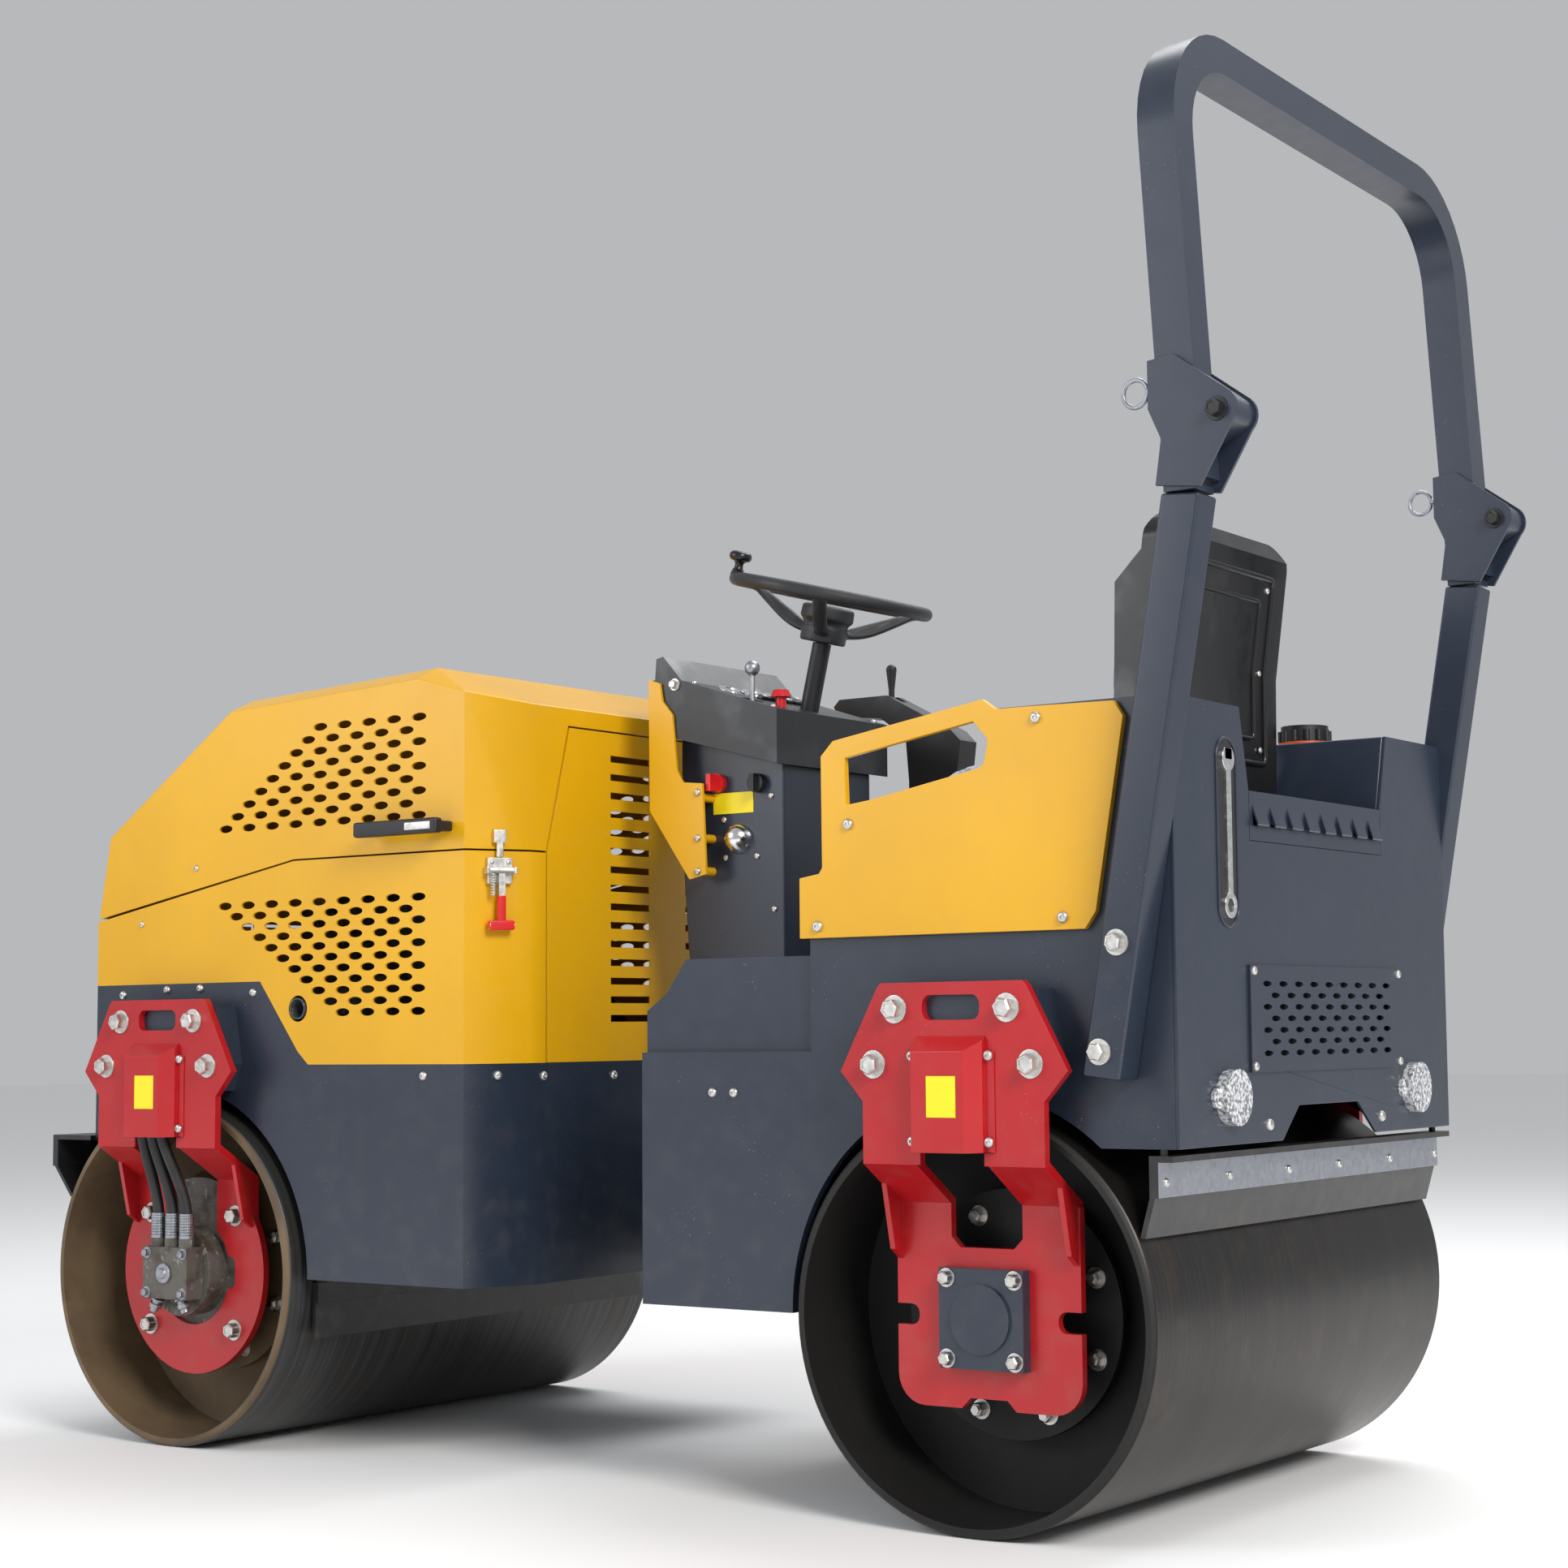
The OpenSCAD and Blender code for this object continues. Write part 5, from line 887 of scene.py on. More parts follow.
@dataclass
class Bodywork:
    """The yellow hood, body and rear cover of the front module, with perforations, handles and latch."""

    side: float = 430.0
    oval: Pair = (16.0, 6.4)
    oval_depth: float = 40.0
    pitch: float = 54.6
    last: float = 538.0
    upper: tuple[int, ...] = (5, 5, 6, 6, 7, 7, 8, 8, 9)
    upper_first: float = 877.0
    upper_pitch: float = 19.2
    lower: tuple[int, ...] = (9, 8, 8, 7, 7, 6, 6, 5, 5, 4, 4)
    lower_first: float = 596.5
    lower_pitch: float = 17.65
    crest: float = 690.0
    crest_round: float = 3.5
    grip_x: Pair = (438.0, 616.0)
    grip_z: Pair = (690.0, 714.0)
    grip_out: Pair = (26.0, 44.0)
    post_places: Pair = (452.0, 602.0)
    post_half: float = 9.0
    post_out: float = 30.0
    inlay_x: Pair = (552.0, 606.0)
    inlay_out: Pair = (43.0, 46.0)
    chamfer: Pair = (660.0, 381.5)
    chamfer_run: Pair = (97.0, 50.0)
    latch_z: float = 633.0
    catch_z: float = 676.0
    spring_turns: int = 9
    spring_steps: int = 12
    spring_r: float = 4.2
    spring_wire: float = 0.9
    spring_start: Triple = (-12.5, -14.4, -3.0)
    spring_run: float = 36.0
    screw: float = 7.0
    small_screw: float = 5.0

    def punch(self, rows: Sequence[int], first: float, step: float) -> Piece:
        """Makes the cutter for a field of staggered ovals on both sides.

        Args:
            rows: how many ovals each row has, from the top.
            first: the top row's height above the axle.
            step: the distance between rows.

        Returns:
            The cutter.
        """
        master = Bench.primitive(bpy.ops.mesh.primitive_cylinder_add, vertices=16, radius=MM,
                                 depth=self.oval_depth * MM, rotation=(math.pi / 2, 0, 0))
        places = []
        for row, count in enumerate(rows):
            for i in range(count):
                x = self.last - (row % 2) * self.pitch / 2 - i * self.pitch
                for side in SIDES:
                    spot = Matrix.Translation(at_front(x, side * self.side, first - row * step))
                    places.append(spot @ Matrix.Diagonal((self.oval[0], 1, self.oval[1], 1)))
        return Bench.stamp(master, places, "oval_punch")

    def panels(self) -> None:
        """Makes the hood, the lower body, the cover, the navy frame and the engine."""
        hood = Bench.adopt("hood")
        top = at_front(0, 0, self.crest).z
        Bench.round_off(hood, lambda a, b: min(a.z, b.z) > top, self.crest_round, 3, clamp_overlap=True)
        Bench.cut(hood, self.punch(self.upper, self.upper_first, self.upper_pitch))
        Bench.finish(hood, "hood_body", GOLD, ["hood"], SHEET_SMOOTH)
        body = Bench.adopt("lower_body", 0.8, 1)
        Bench.cut(body, self.punch(self.lower, self.lower_first, self.lower_pitch))
        Bench.finish(body, "front_module", GOLD, ["lower_body"], SHEET_SMOOTH)
        cover = Bench.adopt("rear_cover", merge=False)
        Bench.finish(cover, "front_module", GOLD, ["rear_cover"], SHEET_SMOOTH)
        Bench.take_all(("front_frame", SLATE, 1.5), ("engine", IRON, 3.0))

    def on_side(self, side: int, x: Pair, out: Pair, z: Pair, round_by: float, steps: int = 2) -> Piece:
        """Makes a rounded block on the hood's side, from its two ends along, out from and up the panel."""
        near, far = sorted(side * (self.side + share) for share in out)
        return slab(at_front(x[0], near, z[0]), at_front(x[1], far, z[1]), round_by, steps)

    def handles(self) -> None:
        """Makes the long grips on the hood's sides, each a flat bar on two posts with a bright inlay."""
        low, high = self.grip_z
        for side in SIDES:
            bar = self.on_side(side, self.grip_x, self.grip_out, self.grip_z, 5, 3)
            posts = [self.on_side(side, (x - self.post_half, x + self.post_half), (0, self.post_out),
                                  (low + 4, high - 4), 3) for x in self.post_places]
            grip = Bench.join([bar, *posts], "hood_grip_" + hand(side))
            Bench.finish(grip, "hood_body", PLASTIC, ["hood_handles"] if side < 0 else ())
            inlay = self.on_side(side, self.inlay_x, self.inlay_out, (low + 6, high - 6), 2)
            Bench.finish(inlay, "hood_body", ZINC, name="grip_inlay_" + hand(side))

    def on_chamfer(self, height: float) -> Matrix:
        """Gives a place on the left chamfer whose -Y points outwards, at a height above the axle."""
        x, out = self.chamfer
        turn = Matrix.Rotation(math.atan2(*self.chamfer_run), 4, "Z")
        return Matrix.Translation(at_front(x, -out, height)) @ turn

    @staticmethod
    def small_block(low: Triple, high: Triple, place: Matrix, round_by: float) -> Piece:
        """Makes a rounded block from two corners in millimetres, at a place."""
        block = slab(Vector(low) * MM, Vector(high) * MM, round_by)
        block.data.transform(place)
        return block

    def latch(self) -> None:
        """Makes the toggle latch: zinc base, lugs and catch, a spring, and a red sleeve on the lever."""
        Bench.take_over("latch_lever", ZINC, 1.0)
        place = self.on_chamfer(self.latch_z)
        base = [self.small_block((-20.3, -9.25, -20.3), (20.3, -0.2, 20.3), place, 1.2)]
        rivet = [(0, 2.6), (2.0, 2.2), (3.4, 0.9), (3.6, 0), (0, 0)]
        for side in SIDES:
            near, far = sorted((side * 19.8, side * 24.3))
            base.append(self.small_block((near, -19.7, -5.3), (far, -0.2, 5.3), place, 0.8))
            base.append(turned(rivet, place @ facing(Vector((side * 13, -9.25, 13)) * MM, (0, -1, 0)), 14))
        Bench.finish(Bench.join(base, "latch_base"), "front_module", ZINC)
        above = self.on_chamfer(self.catch_z)
        catch = [self.small_block((-10.3, -10.3, -0.3), (10.3, -0.2, 20.3), above, 1.6),
                 self.small_block((-5.3, -10.3, -22.2), (5.3, -4.7, 2), above, 1.0)]
        Bench.finish(Bench.join(catch, "latch_catch"), "hood_body", ZINC)
        sleeve = [self.small_block((-6.4, -20.8, -80), (6.4, -10.0, -38), place, 2.6),
                  self.small_block((-20.6, -22.0, -91.6), (20.6, -6.8, -76.4), place, 3.2)]
        Bench.finish(Bench.join(sleeve, "latch_sleeve"), "latch", RED_PLASTIC)
        x, y, z = self.spring_start
        count = self.spring_turns * self.spring_steps
        coil = []
        for i in range(count + 1):
            angle = math.radians(360 / self.spring_steps * i)
            spot = (x + self.spring_r * math.cos(angle), y + self.spring_r * math.sin(angle),
                    z - self.spring_run * i / count)
            coil.append(place @ (Vector(spot) * MM))
        Bench.finish(swept(coil, self.spring_wire, 2), "latch", ZINC, smooth=SOFT_SMOOTH, name="latch_spring")

    def build(self, fixings: Fixings) -> None:
        """Makes the whole bodywork."""
        self.panels()
        self.handles()
        self.latch()
        seam = ((-146, 455), (-36, 462), (45, 463), (171, 454), (552, 320))
        x, out = self.chamfer
        for side in SIDES:
            fixings.row("front_module", Head.DOME, side, self.side, self.screw, *seam)
            fixings.row("hood_body", Head.DOME, side, self.side, self.small_screw, (32, 662))
            fixings.row("front_module", Head.DOME, side, self.side, self.small_screw, (-101, 573))
            fixings.add("front_module", Head.DOME, [at_front(x, side * out, 320)], (0.889, side * 0.458, 0),
                        self.screw)
            tail = [at_front(685, side * y, z) for y, z in ((140, 316), (306, 318))]
            fixings.add("front_module", Head.DOME, tail, BACKWARDS, self.screw)


@dataclass
class DrumEnds:
    """The red brackets with their covers, the motors, bearings, hoses and bolts of one axle."""

    axle: str
    origin: Vector
    motor_side: int
    out: float = 482.0
    cover_out: float = 508.0
    bearing_out: float = 418.0
    flange_out: float = 400.0
    hub_out: float = 334.0
    hub_r: float = 140.0
    hub_nuts: int = 8
    ferrule_out: float = 444.0
    ferrule_z: float = 56.0
    ferrule_ribs: int = 8
    ferrule_pitch: float = 4.5
    ports: Triple = (-34.0, 0.0, 34.0)
    slot_corners: tuple[Pair, ...] = ((45, 395), (45, 428), (109, -14), (109, 14), (101, -26), (101, 26))
    slot_round: float = 12.5
    bracket_round: float = 1.6
    thick: float = 5.0
    near: float = 0.6
    straight: float = 0.1
    bracket_bolt: float = 13.5
    cover_screw: float = 7.0
    cap_bolt: float = 9.0
    hub_nut: float = 10.0
    flange_bolt: float = 12.0
    head_screw: float = 6.5

    def spot(self, x: float, y: float, z: float) -> Vector:
        """Gives a place about this axle, in metres, from millimetres."""
        return self.origin + Vector((x, y, z)) * MM

    def brackets(self, module: str) -> None:
        """Makes both brackets, with round ends to their hand slots and side notches."""
        piece = Bench.adopt(self.axle + "_brackets")
        spots = [(side * x, z) for side in SIDES for x, z in self.slot_corners]

        def inner_corner(a: Vector, b: Vector) -> bool:
            """Tells whether an edge runs across the machine through one of the corners."""
            first, last = ((point - self.origin) / MM for point in (a, b))
            if abs(first.y - last.y) <= self.thick:
                return False
            if max(abs(first.x - last.x), abs(first.z - last.z)) >= self.straight:
                return False
            return any(max(abs(first.x - x), abs(first.z - z)) < self.near for x, z in spots)

        Bench.round_off(piece, inner_corner, self.slot_round, 6)
        Bench.soften(piece, self.bracket_round, 3, miter_outer="MITER_ARC")
        Bench.finish(piece, module, SCARLET, [self.axle + "_brackets"])

    def covers(self, module: str) -> None:
        """Makes both bracket covers, each with a shallow pocket for its plate."""
        covers = Bench.adopt(self.axle + "_bracket_covers", 1.0)
        for side in SIDES:
            near, far = sorted((side * (self.cover_out - 1.0), side * (self.cover_out + 2.0)))
            Bench.cut(covers, slab(self.spot(-23.4, near, 267.6), self.spot(23.4, far, 322.4)))
        Bench.finish(covers, module, SCARLET, [self.axle + "_bracket_covers"])

    def plates(self, module: str, fixings: Fixings) -> None:
        """Makes the covers' corner screws and the bare plates in their pockets."""
        for side in SIDES:
            corners = [self.spot(x, side * (self.out + 3.0), z) for x in (-60, 60) for z in (236, 348)]
            fixings.add(module, Head.DOME, corners, (0, side, 0), self.cover_screw)
            near, far = sorted((side * (self.cover_out - 1.4), side * (self.cover_out - 0.2)))
            plate = slab(self.spot(-23, near, 268), self.spot(23, far, 322), 0.3)
            Bench.finish(plate, module, PLATE, name=f"{self.axle}_bare_plate_{hand(side)}")

    def ferrules(self, module: str) -> None:
        """Makes the ribbed ferrules at the hoses' ends."""
        rib = ((12.1, 0), (12.1, 2.2), (11.6, 2.8), (11.6, 3.8))
        crimps = [(9.1, -0.4), (11.9, 0)]
        crimps += [(r, 2.0 + self.ferrule_pitch * i + d) for i in range(self.ferrule_ribs) for r, d in rib]
        crimps += [(11.9, 40), (9.1, 40.4)]
        sleeves = [Matrix.Translation(self.spot(x, self.motor_side * self.ferrule_out, self.ferrule_z))
                   for x in self.ports]
        piece = Bench.stamp(turned(crimps, Matrix(), 20, True), sleeves, self.axle + "_ferrules")
        Bench.finish(piece, module, DULL, smooth=SHEET_SMOOTH)

    def fittings(self, module: str, fixings: Fixings) -> None:
        """Dresses the motor's head with its screws, a plug and two unions with their lock nuts."""
        side = self.motor_side
        face = abs(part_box(self.axle + "_motor")[0 if side < 0 else 1].y - self.origin.y) / MM
        out = (0, side, 0)
        screws = [self.spot(x, side * (face - 0.6), z) for x in (-43, 43) for z in (-32, 32)]
        fixings.add(module, Head.HEX, screws, out, self.head_screw, DULL)
        plug = [(0, 9), (7, 8.6), (9, 6.6), (9.4, 5.2), (15, 5), (16.5, 3.4), (16.5, -0.5), (0, -0.5)]
        union = [(0, 24), (6.4, 24), (7, 22.8), (7, 17), (10.4, 16.4), (10.4, 9.4), (8, 8.6), (8, 3),
                 (12, 2.4), (12, -0.5), (0, -0.5)]
        pieces = [turned(plug, facing(self.spot(0, side * face, 0), out), 28)]
        for x, lean in ((-30, -0.5), (27, 0.42)):
            pieces.append(turned(union, facing(self.spot(x, side * (face - 14), -42), (lean, 0, -1)), 12))
        Bench.finish(Bench.join(pieces, self.axle + "_motor_unions"), module, DULL, smooth=SHEET_SMOOTH)

    def build(self, fixings: Fixings) -> None:
        """Makes everything around both drum ends."""
        module = self.axle + "_module"
        self.brackets(module)
        self.covers(module)
        steel = FRONT_STEEL if self.axle == "front" else REAR_STEEL
        rows = (("_bearing", SLATE, 1.6), ("_motor", OILY, 2.0), ("_hoses", RUBBER, 0.0, 2, ROUND_SMOOTH),
                ("_drum", steel, 0.8), ("_exciter", IRON, 0.8), ("_scrapers", BLACK, 0.8))
        Bench.take_all(*((self.axle + end, *rest) for end, *rest in rows))
        bolts = [facing(self.spot(x, side * self.out, z), (0, side, 0), self.bracket_bolt, 20 * x)
                 for side in SIDES for x, z in ((-88, 410), (88, 410), (-123, 337), (123, 337))]
        piece = Bench.stamp(fastener(Head.HEX), bolts, self.axle + "_bracket_bolts")
        Bench.finish(piece, module, ZINC, [self.axle + "_bolts"], smooth=HEAD_SMOOTH)
        self.plates(module, fixings)
        bearing = -self.motor_side
        caps = [self.spot(x, bearing * self.bearing_out, z) for x in (-53, 53) for z in (-53, 53)]
        fixings.add(module, Head.HEX, caps, (0, bearing, 0), self.cap_bolt)
        angles = [math.radians((i + 0.5) * 360 / self.hub_nuts) for i in range(self.hub_nuts)]
        for side in SIDES:
            ring = [self.spot(self.hub_r * math.cos(angle), side * self.hub_out, self.hub_r * math.sin(angle))
                    for angle in angles]
            fixings.add(self.axle + "_roller", Head.NUT, ring, (0, side, 0), self.hub_nut)
        self.ferrules(module)
        flange = [self.spot(x, self.motor_side * self.flange_out, z) for x in (-101, 101) for z in (-92, 92)]
        fixings.add(module, Head.HEX, flange, (0, self.motor_side, 0), self.flange_bolt)
        self.fittings(module, fixings)


@dataclass
class RollBar:
    """The folding roll bar with its posts, cheeks, hinge bolts and pins."""

    hinge: Pair = (412.0, 1153.0)
    hinge_out: float = 485.5
    hinge_in: float = 424.5
    post_out: float = 480.0
    hinge_bolt: float = 11.0
    post_bolt: float = 12.0

    def build(self, fixings: Fixings) -> None:
        """Makes the roll bar."""
        Bench.take_all(("rops_hoop", SLATE, 4.5, 4), ("rops_posts", SLATE, 4.0, 3),
                       ("rops_cheeks", SLATE, 1.0), ("rops_pin_left", DULL, 0.0, 2, SOFT_SMOOTH),
                       ("rops_pin_right", DULL, 0.0, 2, SOFT_SMOOTH))
        x, z = self.hinge
        for side in SIDES:
            fixings.row("rear_module", Head.HEX, side, self.hinge_out, self.hinge_bolt, self.hinge,
                        finish=BLACK)
            fixings.add("rear_module", Head.HEX, [at_rear(x, side * self.hinge_in, z)], (0, -side, 0),
                        self.hinge_bolt, BLACK)
            fixings.row("rear_module", Head.HEX, side, self.post_out, self.post_bolt, (252, 490), (224, 352))


@dataclass
class OperatorPlace:
    """The console, wheel, levers, pedestal, guards, side panels and floor."""

    rim: float = 154.0
    wheel_middle: Pair = (-533.6, 1072.0)
    column_lean: float = 14.0
    spokes: int = 3
    spoke_r: float = 6.2
    spoke_spread: float = 2.0
    wheel_voxel: float = 0.0022
    knob_turn: float = 225.0
    knob_foot: float = 11.6
    top_place: Pair = (-531.0, 879.0)
    top_slope: float = 0.314
    top_normal: Triple = (0.2996, 0, 0.954)
    pedestal_out: float = 117.0
    guard_out: float = 155.4
    bracket_out: float = 150.0
    panel_out: float = 440.0
    frame_out: float = 430.0
    pedestal_screw: float = 5.0
    guard_screw: float = 6.0
    panel_screw: float = 8.0
    frame_screw: float = 7.0
    dial_screw: float = 4.5

    def wheel(self) -> None:
        """Makes the steering wheel as one soft moulding with broad spokes, and its mushroom knob."""
        x, z = self.wheel_middle
        place = Matrix.Translation(at_rear(x, 0, z)) @ Matrix.Rotation(math.radians(self.column_lean), 4, "Y")
        hub = [(0, -14), (36, -15), (42, -18), (43, -36), (38, -41), (34, -45), (37, -52), (37, -73),
               (35, -75), (0, -75)]
        line = ((20, 0, -58), (46, 0, -57), (74, 0, -50), (104, 0, -32), (134, 0, -14), (150, 0, -3))
        parts = [Bench.adopt("steering_wheel"), turned(hub, place, 40)]
        for number in range(self.spokes):
            spoke = swept([Vector(spot) * MM for spot in line], self.spoke_r, 3)
            turn = Matrix.Rotation(math.radians(180 + 360 / self.spokes * number), 4, "Z")
            spoke.data.transform(place @ turn @ Matrix.Diagonal((1, self.spoke_spread, 1, 1)))
            parts.append(spoke)
        wheel = Bench.join(parts, "made_steering_wheel")
        Bench.modify(wheel, "REMESH", mode="VOXEL", voxel_size=self.wheel_voxel)
        Bench.modify(wheel, "SMOOTH", factor=0.5, iterations=6)
        Bench.finish(wheel, "wheel", GRIP, ["steering_wheel"], SOFT_SMOOTH)
        on_rim = Matrix.Rotation(math.radians(self.knob_turn), 4, "Z") @ Matrix.Translation(
            Vector((self.rim, 0, self.knob_foot)) * MM)
        mushroom = [(0, 0), (9.4, 0), (9.8, 1.2), (7.4, 4), (6.6, 9), (7.2, 13), (10, 15.4), (15.4, 17.2),
                    (17.6, 20.4), (18, 24), (17.2, 27.6), (14.6, 30.4), (9, 31.7), (0, 32)]
        knob = turned(mushroom, place @ on_rim, 36)
        Bench.finish(knob, "knob", GLOSSY, ["spinner_knob"], ROUND_SMOOTH, "made_spinner_knob")

    def console(self, fixings: Fixings) -> None:
        """Makes the console, its pedestal, guards and small controls."""
        Bench.take_over("console", CONSOLE, 4.0, 3)
        self.dials(fixings)
        Bench.take_all(("pedestal", SLATE, 3.0, 3), ("console_guards", GOLD, 0.8),
                       ("steering_column", PLASTIC, 1.0), ("control_stand", PLASTIC, 3.0, 3),
                       ("travel_lever", PLASTIC, 0.8, 2, ROUND_SMOOTH),
                       ("throttle_lever", DULL, 0.5, 2, ROUND_SMOOTH),
                       ("stop_button", RED_PLASTIC, 1.0, 3, ROUND_SMOOTH),
                       ("isolator_key", RED_PLASTIC, 1.5, 3), ("ignition_key", PLASTIC, 1.5, 3))
        marks = ((-562, 571), (-554, 395), (-656, 655), (-595, 655), (-660, 715), (-567, 748))
        guard = ((-683, 757), (-683, 685), (-683, 633))
        for side in SIDES:
            fixings.row("rear_module", Head.DOME, side, self.pedestal_out, self.pedestal_screw, *marks)
            fixings.row("rear_module", Head.DOME, side, self.guard_out, self.guard_screw, *guard)
        plate = slab(at_rear(-681, -self.pedestal_out - 1, 724), at_rear(-602, -self.pedestal_out, 757), 0.3)
        Bench.finish(plate, "rear_module", PLATE, name="pedestal_bare_plate")
        horn = turned([(0, 24), (9, 23), (17, 18), (22, 10), (24, 3), (24, 0), (0, 0)],
                      facing(at_rear(-630, -self.pedestal_out, 684), (0, -1, 0)), 32)
        Bench.finish(horn, "rear_module", CHROME, name="horn_dome", smooth=ROUND_SMOOTH)

    def on_top(self, x: float, y: float) -> Vector:
        """Gives a place on the console's sloping top."""
        edge, height = self.top_place
        return at_rear(x, y, height + self.top_slope * (edge - x))

    def dials(self, fixings: Fixings) -> None:
        """Makes the gauges, rocker switches and screws on the console's sloping top."""
        spots = [facing(self.on_top(-672, y), self.top_normal) for y in (-78, -18, 42)]
        ring = [(17.5, 1.2), (19, 4.2), (22.5, 4.6), (25, 2.2), (25.5, -0.3), (17.5, -0.3)]
        glass = [(0, 2.2), (9, 2.1), (17.6, 1.7), (17.6, -0.3), (0, -0.3)]
        for profile, closed, finish, name in ((ring, True, CHROME, "gauge_bezels"),
                                              (glass, False, LENS, "gauge_glasses")):
            piece = Bench.stamp(turned(profile, Matrix(), 40, closed), spots, name)
            Bench.finish(piece, "rear_module", finish, smooth=ROUND_SMOOTH)
        rocker = slab(Vector((-8, -6, -1)) * MM, Vector((8, 6, 6)) * MM, 1.6)
        Bench.faces(rocker, lambda centre, normal: normal.z > 0.9 and centre.z > 5 * MM)
        bpy.ops.mesh.inset(thickness=1.5 * MM)
        Bench.pull(-1.2)
        Bench.shut()
        rows = [facing(self.on_top(-624, y), self.top_normal) for y in (-64, -42, -20, 2, 24, 46)]
        Bench.finish(Bench.stamp(rocker, rows, "rocker_switches"), "rear_module", GLOSSY)
        corners = [self.on_top(x, y) for x in (-704, -548) for y in (-136, 136)]
        fixings.add("rear_module", Head.DOME, corners, self.top_normal, self.dial_screw)
        for side in SIDES:
            fixings.row("rear_module", Head.HEX, side, self.bracket_out, self.frame_screw, (-732, 932))

    def panels(self, fixings: Fixings) -> None:
        """Makes the side panels, floor and the frame around the operator."""
        Bench.take_all(("side_panels", GOLD, 1.2), ("rear_frame", SLATE, 1.5), ("floor_plate", BLACK, 0.8))
        panel = ((113, 790), (-191, 665), (-244, 526), (150, 526))
        for side in SIDES:
            fixings.row("rear_module", Head.DOME, side, self.panel_out, self.panel_screw, *panel)
            fixings.row("rear_module", Head.DOME, side, self.frame_out, self.frame_screw, (-438, 297),
                        (-400, 297))

    def build(self, fixings: Fixings) -> None:
        """Makes the operator's place."""
        self.wheel()
        self.console(fixings)
        self.panels(fixings)


@dataclass
class Seat:
    """The moulded seat shell with its crowned cloth pads."""

    voxel: float = 0.006
    cap: float = 0.006
    shrink: float = 0.972
    pressure: float = 4.0
    frames: int = 20
    dense: int = 5000
    fill: float = 0.8
    seam_share: float = 0.80
    seam_power: float = 4.4
    seam_half: float = 0.05
    seam_depth: float = 3.0
    piping: float = 3.2
    piping_points: int = 72
    piping_power: float = 0.45
    piping_rise: float = 0.47
    back_x: float = 147.0
    bend_z: float = 900.0
    back_rise: Pair = (24.2, 176.0)
    shell_low: Triple = (-420.0, -200.2, 500.0)
    shell_high: Triple = (300.0, 200.2, 1102.3)
    shell_waist: float = 600.0
    shell_round: float = 5.0
    shell_corner: float = 44.0
    screw: float = 5.0

    def swell(self, piece: Piece) -> None:
        """Remeshes a pad and lets cloth under pressure swell it, each point by no more than the cap."""
        Bench.modify(piece, "REMESH", mode="VOXEL", voxel_size=self.voxel)
        before = [point.co.copy() for point in piece.data.vertices]
        Bench.pick(piece)
        cloth = piece.modifiers.new("cloth", "CLOTH")
        cloth.settings.use_pressure = True
        cloth.settings.uniform_pressure_force = self.pressure
        cloth.settings.effector_weights.gravity = 0
        for frame_number in range(1, self.frames + 1):
            bpy.context.scene.frame_set(frame_number)
        bpy.ops.object.modifier_apply(modifier=cloth.name)
        bpy.context.scene.frame_set(1)
        for point, start in zip(piece.data.vertices, before):
            move = point.co - start
            if move.length > self.cap:
                point.co = start + move * (self.cap / move.length)

    def pad(self, node: str, place: Matrix, length: float, width: float, height: float) -> None:
        """Makes one cloth pad over its CAD pad, with a sewn line on its crown and piping round its edge.

        Args:
            node: the CAD pad.
            place: the middle of the pad's foot; its crown points along +Z.
            length: the pad's size along its own X, in millimetres.
            width: its size along Y.
            height: the height of its crown.
        """
        piece = Bench.adopt(node)
        centre = Matrix.Translation(middle(node))
        piece.data.transform(centre @ Matrix.Scale(self.shrink, 4) @ Matrix.Translation(-middle(node)))
        self.swell(piece)
        Bench.modify(piece, "SUBSURF", levels=1 if len(piece.data.polygons) > self.dense else 2)
        self.sew(piece, place, (length / 2 * self.seam_share, width / 2 * self.seam_share), height / 2)
        low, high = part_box(node)
        for point in piece.data.vertices:
            point.co = Vector(min(max(point.co[i], low[i]), high[i]) for i in range(3))
        Bench.finish(piece, "seat", CLOTH, [node], SOFT_SMOOTH)
        route = []
        for i in range(self.piping_points):
            angle = math.radians(360 / self.piping_points * i)
            spot = [(size / 2 * self.shrink - 1) * math.copysign(abs(share) ** self.piping_power, share)
                    for size, share in ((length, math.cos(angle)), (width, math.sin(angle)))]
            route.append(place @ (Vector((*spot, height * self.piping_rise)) * MM))
        cord = swept(route, self.piping, 3, True)
        Bench.finish(cord, "seat", PIPING, smooth=SOFT_SMOOTH, name=node + "_piping")

    def sew(self, piece: Piece, place: Matrix, half: Pair, least: float) -> None:
        """Presses a sewn line of half a length and half a width into a pad, above a least height."""
        back = place.inverted()
        up = place.to_3x3() @ Vector((0, 0, 1))
        for point in piece.data.vertices:
            spot = back @ point.co / MM
            reach = abs(spot.x / half[0]) ** self.seam_power + abs(spot.y / half[1]) ** self.seam_power
            off = reach ** (1 / self.seam_power) - 1
            if spot.z > least and abs(off) < self.seam_half:
                dip = self.seam_depth * math.cos(off / self.seam_half * math.pi / 2)
                point.co -= up * dip * MM

    def behind(self, y: float, z: float, out: float = 0.0) -> Vector:
        """Gives a place on the back of the shell."""
        run, rise = self.back_rise
        return at_rear(self.back_x + out + max(0, z - self.bend_z) * run / rise, y, z)

    def ribs(self) -> None:
        """Presses two rounded frames into the back of the shell."""
        for number, (half, low, high, wire) in enumerate(((158, 770, 1046, 5.0), (122, 806, 1010, 4.0))):
            waist = (low + high) / 2
            corners = ((half, low), (half, waist), (half, high), (0, high), (-half, high), (-half, waist),
                       (-half, low), (0, low))
            points = [self.behind(y, z) for y, z in corners for _ in range(2)]
            bar = swept(points, wire, 4, True)
            Bench.finish(bar, "seat", GLOSSY, smooth=SOFT_SMOOTH, name=f"shell_frame_{number}")

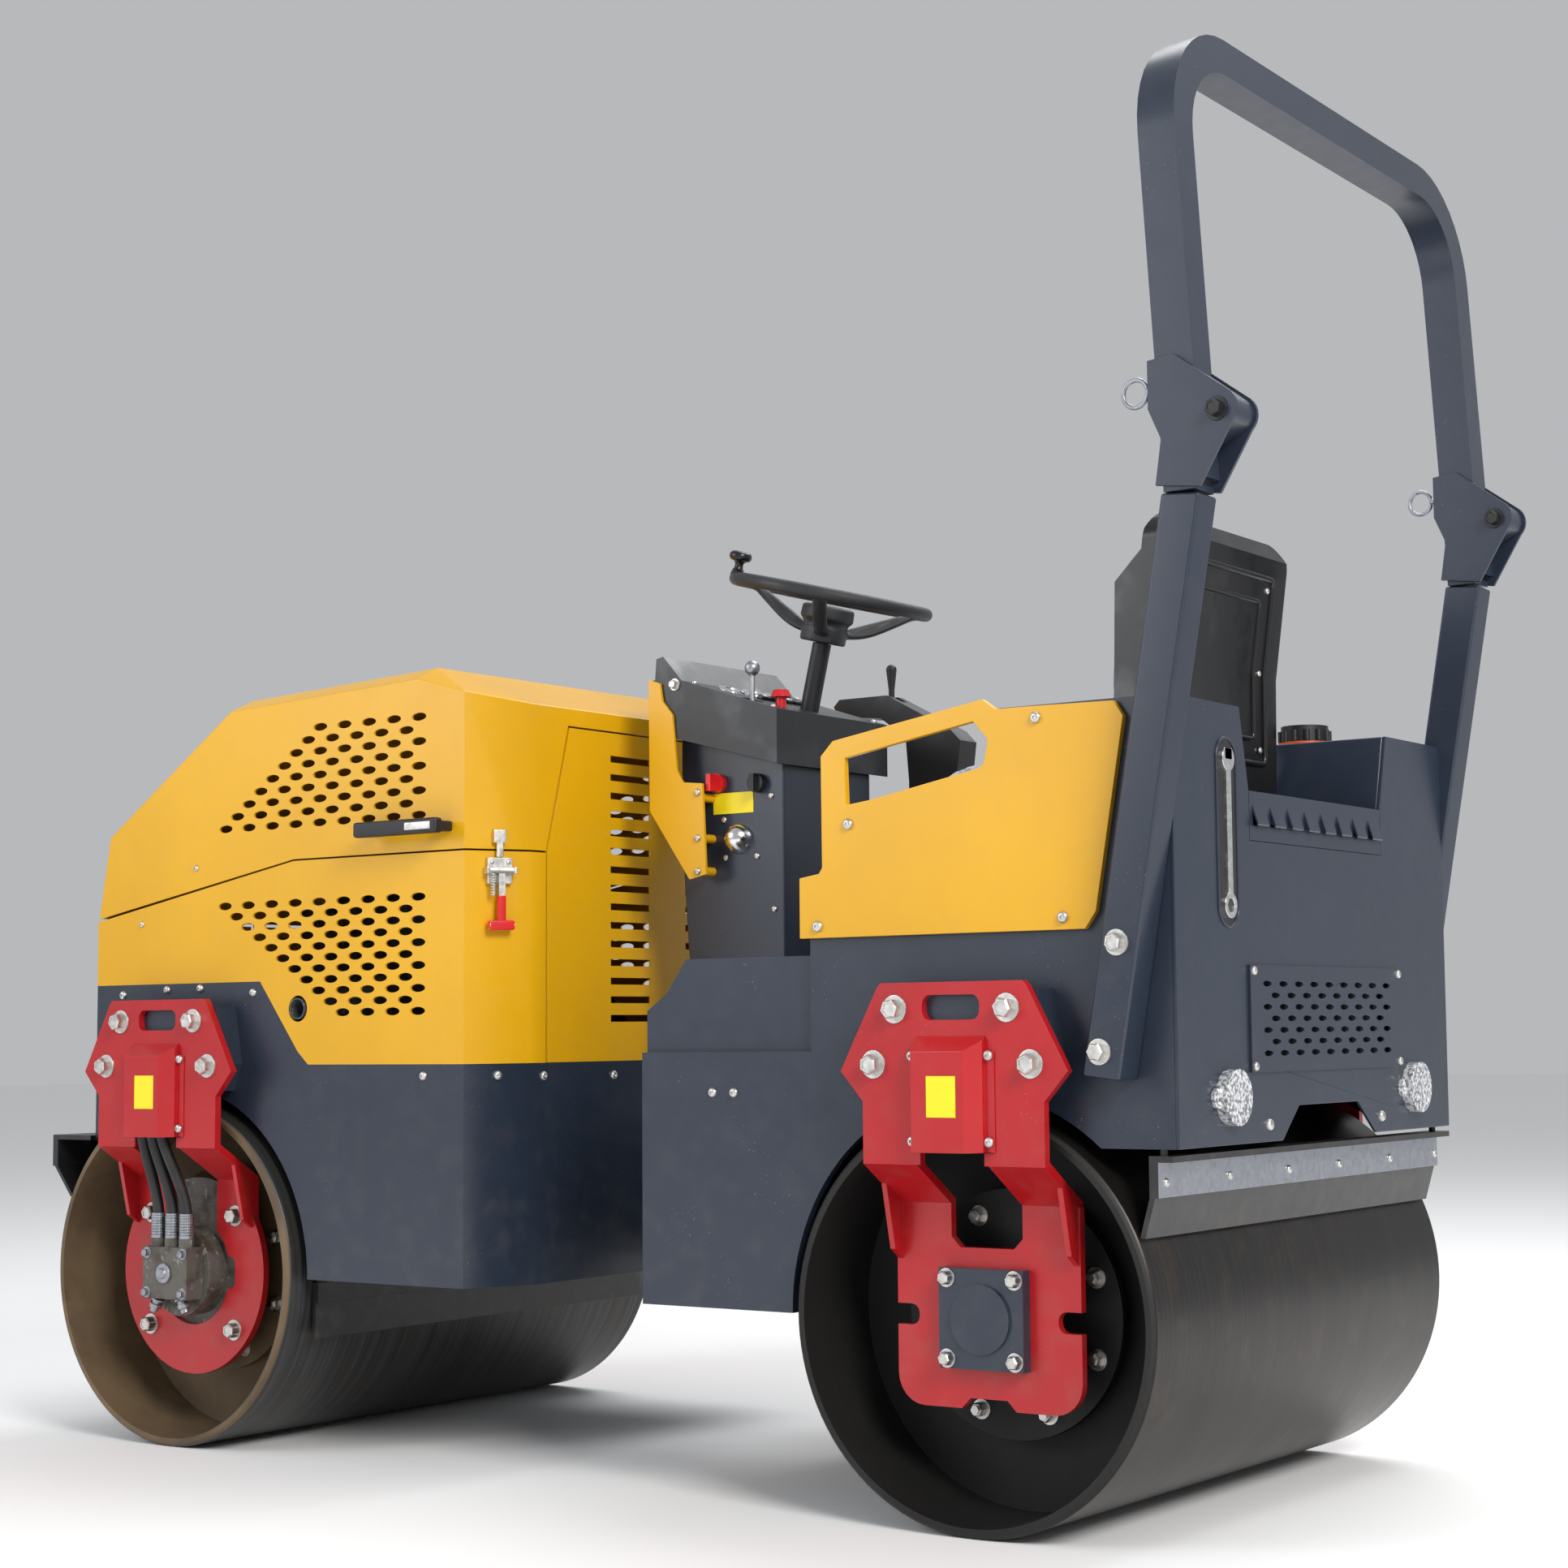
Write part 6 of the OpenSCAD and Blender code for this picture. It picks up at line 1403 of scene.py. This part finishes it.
    def build(self, fixings: Fixings) -> None:
        """Makes the seat."""
        shell = Bench.adopt("seat_shell")
        envelope = slab(at_rear(*self.shell_low), at_rear(*self.shell_high))
        waist = at_rear(0, 0, self.shell_waist).z
        Bench.round_off(envelope, lambda a, b: along_x(a, b) and a.z > waist, self.shell_corner, 8)
        Bench.modify(shell, "BOOLEAN", operation="INTERSECT", solver="EXACT", object=envelope)
        bpy.data.objects.remove(envelope)
        Bench.soften(shell, self.shell_round, 3)
        Bench.finish(shell, "seat", GLOSSY, ["seat_shell"])
        self.ribs()
        screws = [self.behind(y, z, 0.5) for y in (-140, 140) for z in (790, 905, 1028)]
        fixings.add("seat", Head.DOME, screws, (0.99, 0, -0.1), self.screw)
        Bench.take_over("seat_base", SLATE, 2.0)
        self.pad("seat_cushion", Matrix.Translation(at_rear(-93.4, 0, 686.4)), 330, 373, 80.6)
        lean = Matrix.Translation(at_rear(126.4, 0, 925)) @ Matrix.Rotation(math.radians(-84.5), 4, "Y")
        self.pad("back_cushion", lean, 300, 347, 62)


@dataclass
class RearEnd:
    """The rear panel with its grille, scoops, lamps, spanner and the filler."""

    tray_x: Pair = (308.9, 309.5)
    tray_y: float = -283.0
    tray_half: float = 28.0
    tray_ends: Pair = (541.0, 735.0)
    tray_corner: float = 27.9
    rim_points: int = 64
    rim_wire: float = 2.0
    filler: Triple = (150.0, 290.0, 808.0)
    strip_low: Triple = (282.6, -439.8, 167.2)
    strip_high: Triple = (283.7, 439.8, 219.6)
    grille_screw: float = 6.0
    panel_bolt: float = 8.0

    def spanner_tray(self) -> None:
        """Makes the dark stadium tray with a rolled rim that the spanner lies in."""
        low, high = self.tray_ends
        half = self.tray_half
        tray = slab(at_rear(self.tray_x[0], self.tray_y - half, low - half),
                    at_rear(self.tray_x[1], self.tray_y + half, high + half))
        Bench.round_off(tray, along_x, self.tray_corner, 10)
        Bench.finish(tray, "rear_module", BLACK, name="spanner_tray")
        rim = []
        for i in range(self.rim_points):
            angle = 2 * math.pi * i / self.rim_points
            end = high if math.sin(angle) >= 0 else low
            rim.append(at_rear(self.tray_x[1] + 0.1, self.tray_y + half * math.cos(angle),
                               end + half * math.sin(angle)))
        piece = swept(rim, self.rim_wire, 3, True)
        Bench.finish(piece, "rear_module", SLATE, smooth=SOFT_SMOOTH, name="tray_rim")

    def build(self, fixings: Fixings) -> None:
        """Makes the rear end."""
        Bench.take_all(("rear_panel", SLATE, 1.2), ("louvre_strip", SLATE, 0.8), ("grille", SLATE, 0.5, 1),
                       ("towers", SLATE, 3.0, 3), ("filler_cap", PLASTIC, 1.2), ("spanner", CHROME, 1.2, 3),
                       ("rear_lamps", LENS, 2.0, 3))
        seal = turned([(36.2, 0.2), (40.2, 0.2), (40.9, 2.8), (40.2, 5.4), (36.2, 5.4)],
                      Matrix.Translation(at_rear(*self.filler)), 40, True)
        Bench.finish(seal, "rear_module", ORANGE_SEAL, smooth=ROUND_SMOOTH, name="filler_seal")
        self.spanner_tray()
        strip = slab(at_rear(*self.strip_low), at_rear(*self.strip_high), 0.4)
        Bench.finish(strip, "rear_module", DULL, name="rear_clamp_strip")
        corners = [at_rear(313, y, z) for y in (-223, 243) for z in (329, 456)]
        fixings.add("rear_module", Head.DOME, corners, BACKWARDS, self.grille_screw)
        bolts = [at_rear(309, y, 251) for y in (-180, 180)]
        fixings.add("rear_module", Head.DOME, bolts, BACKWARDS, self.panel_bolt)
        screws = [at_rear(283, y, 186) for y in (-421, -247, -72, 89, 263, 427)]
        fixings.add("rear_module", Head.DOME, screws, BACKWARDS, self.grille_screw)


class Joint:
    """The articulation between the frames: yoke, pin and steering cylinder."""

    def build(self) -> None:
        """Makes the joint's pieces."""
        Bench.take_all(("yoke", IRON, 2.0), ("articulation_pin", ZINC, 1.0), ("cylinder_barrel", BLACK, 1.2),
                       ("cylinder_rod", CHROME, 0.8))


def main() -> None:
    """Builds the studio and every sub-assembly in order."""
    logging.basicConfig(level=logging.INFO, format="%(name)s: %(message)s")
    fixings = Fixings()
    Studio().build()
    Bodywork().build(fixings)
    DrumEnds("front", FRONT, -1).build(fixings)
    DrumEnds("rear", REAR, 1).build(fixings)
    RollBar().build(fixings)
    OperatorPlace().build(fixings)
    Seat().build(fixings)
    RearEnd().build(fixings)
    Joint().build()
    fixings.build()


if __name__ == "__main__":
    main()
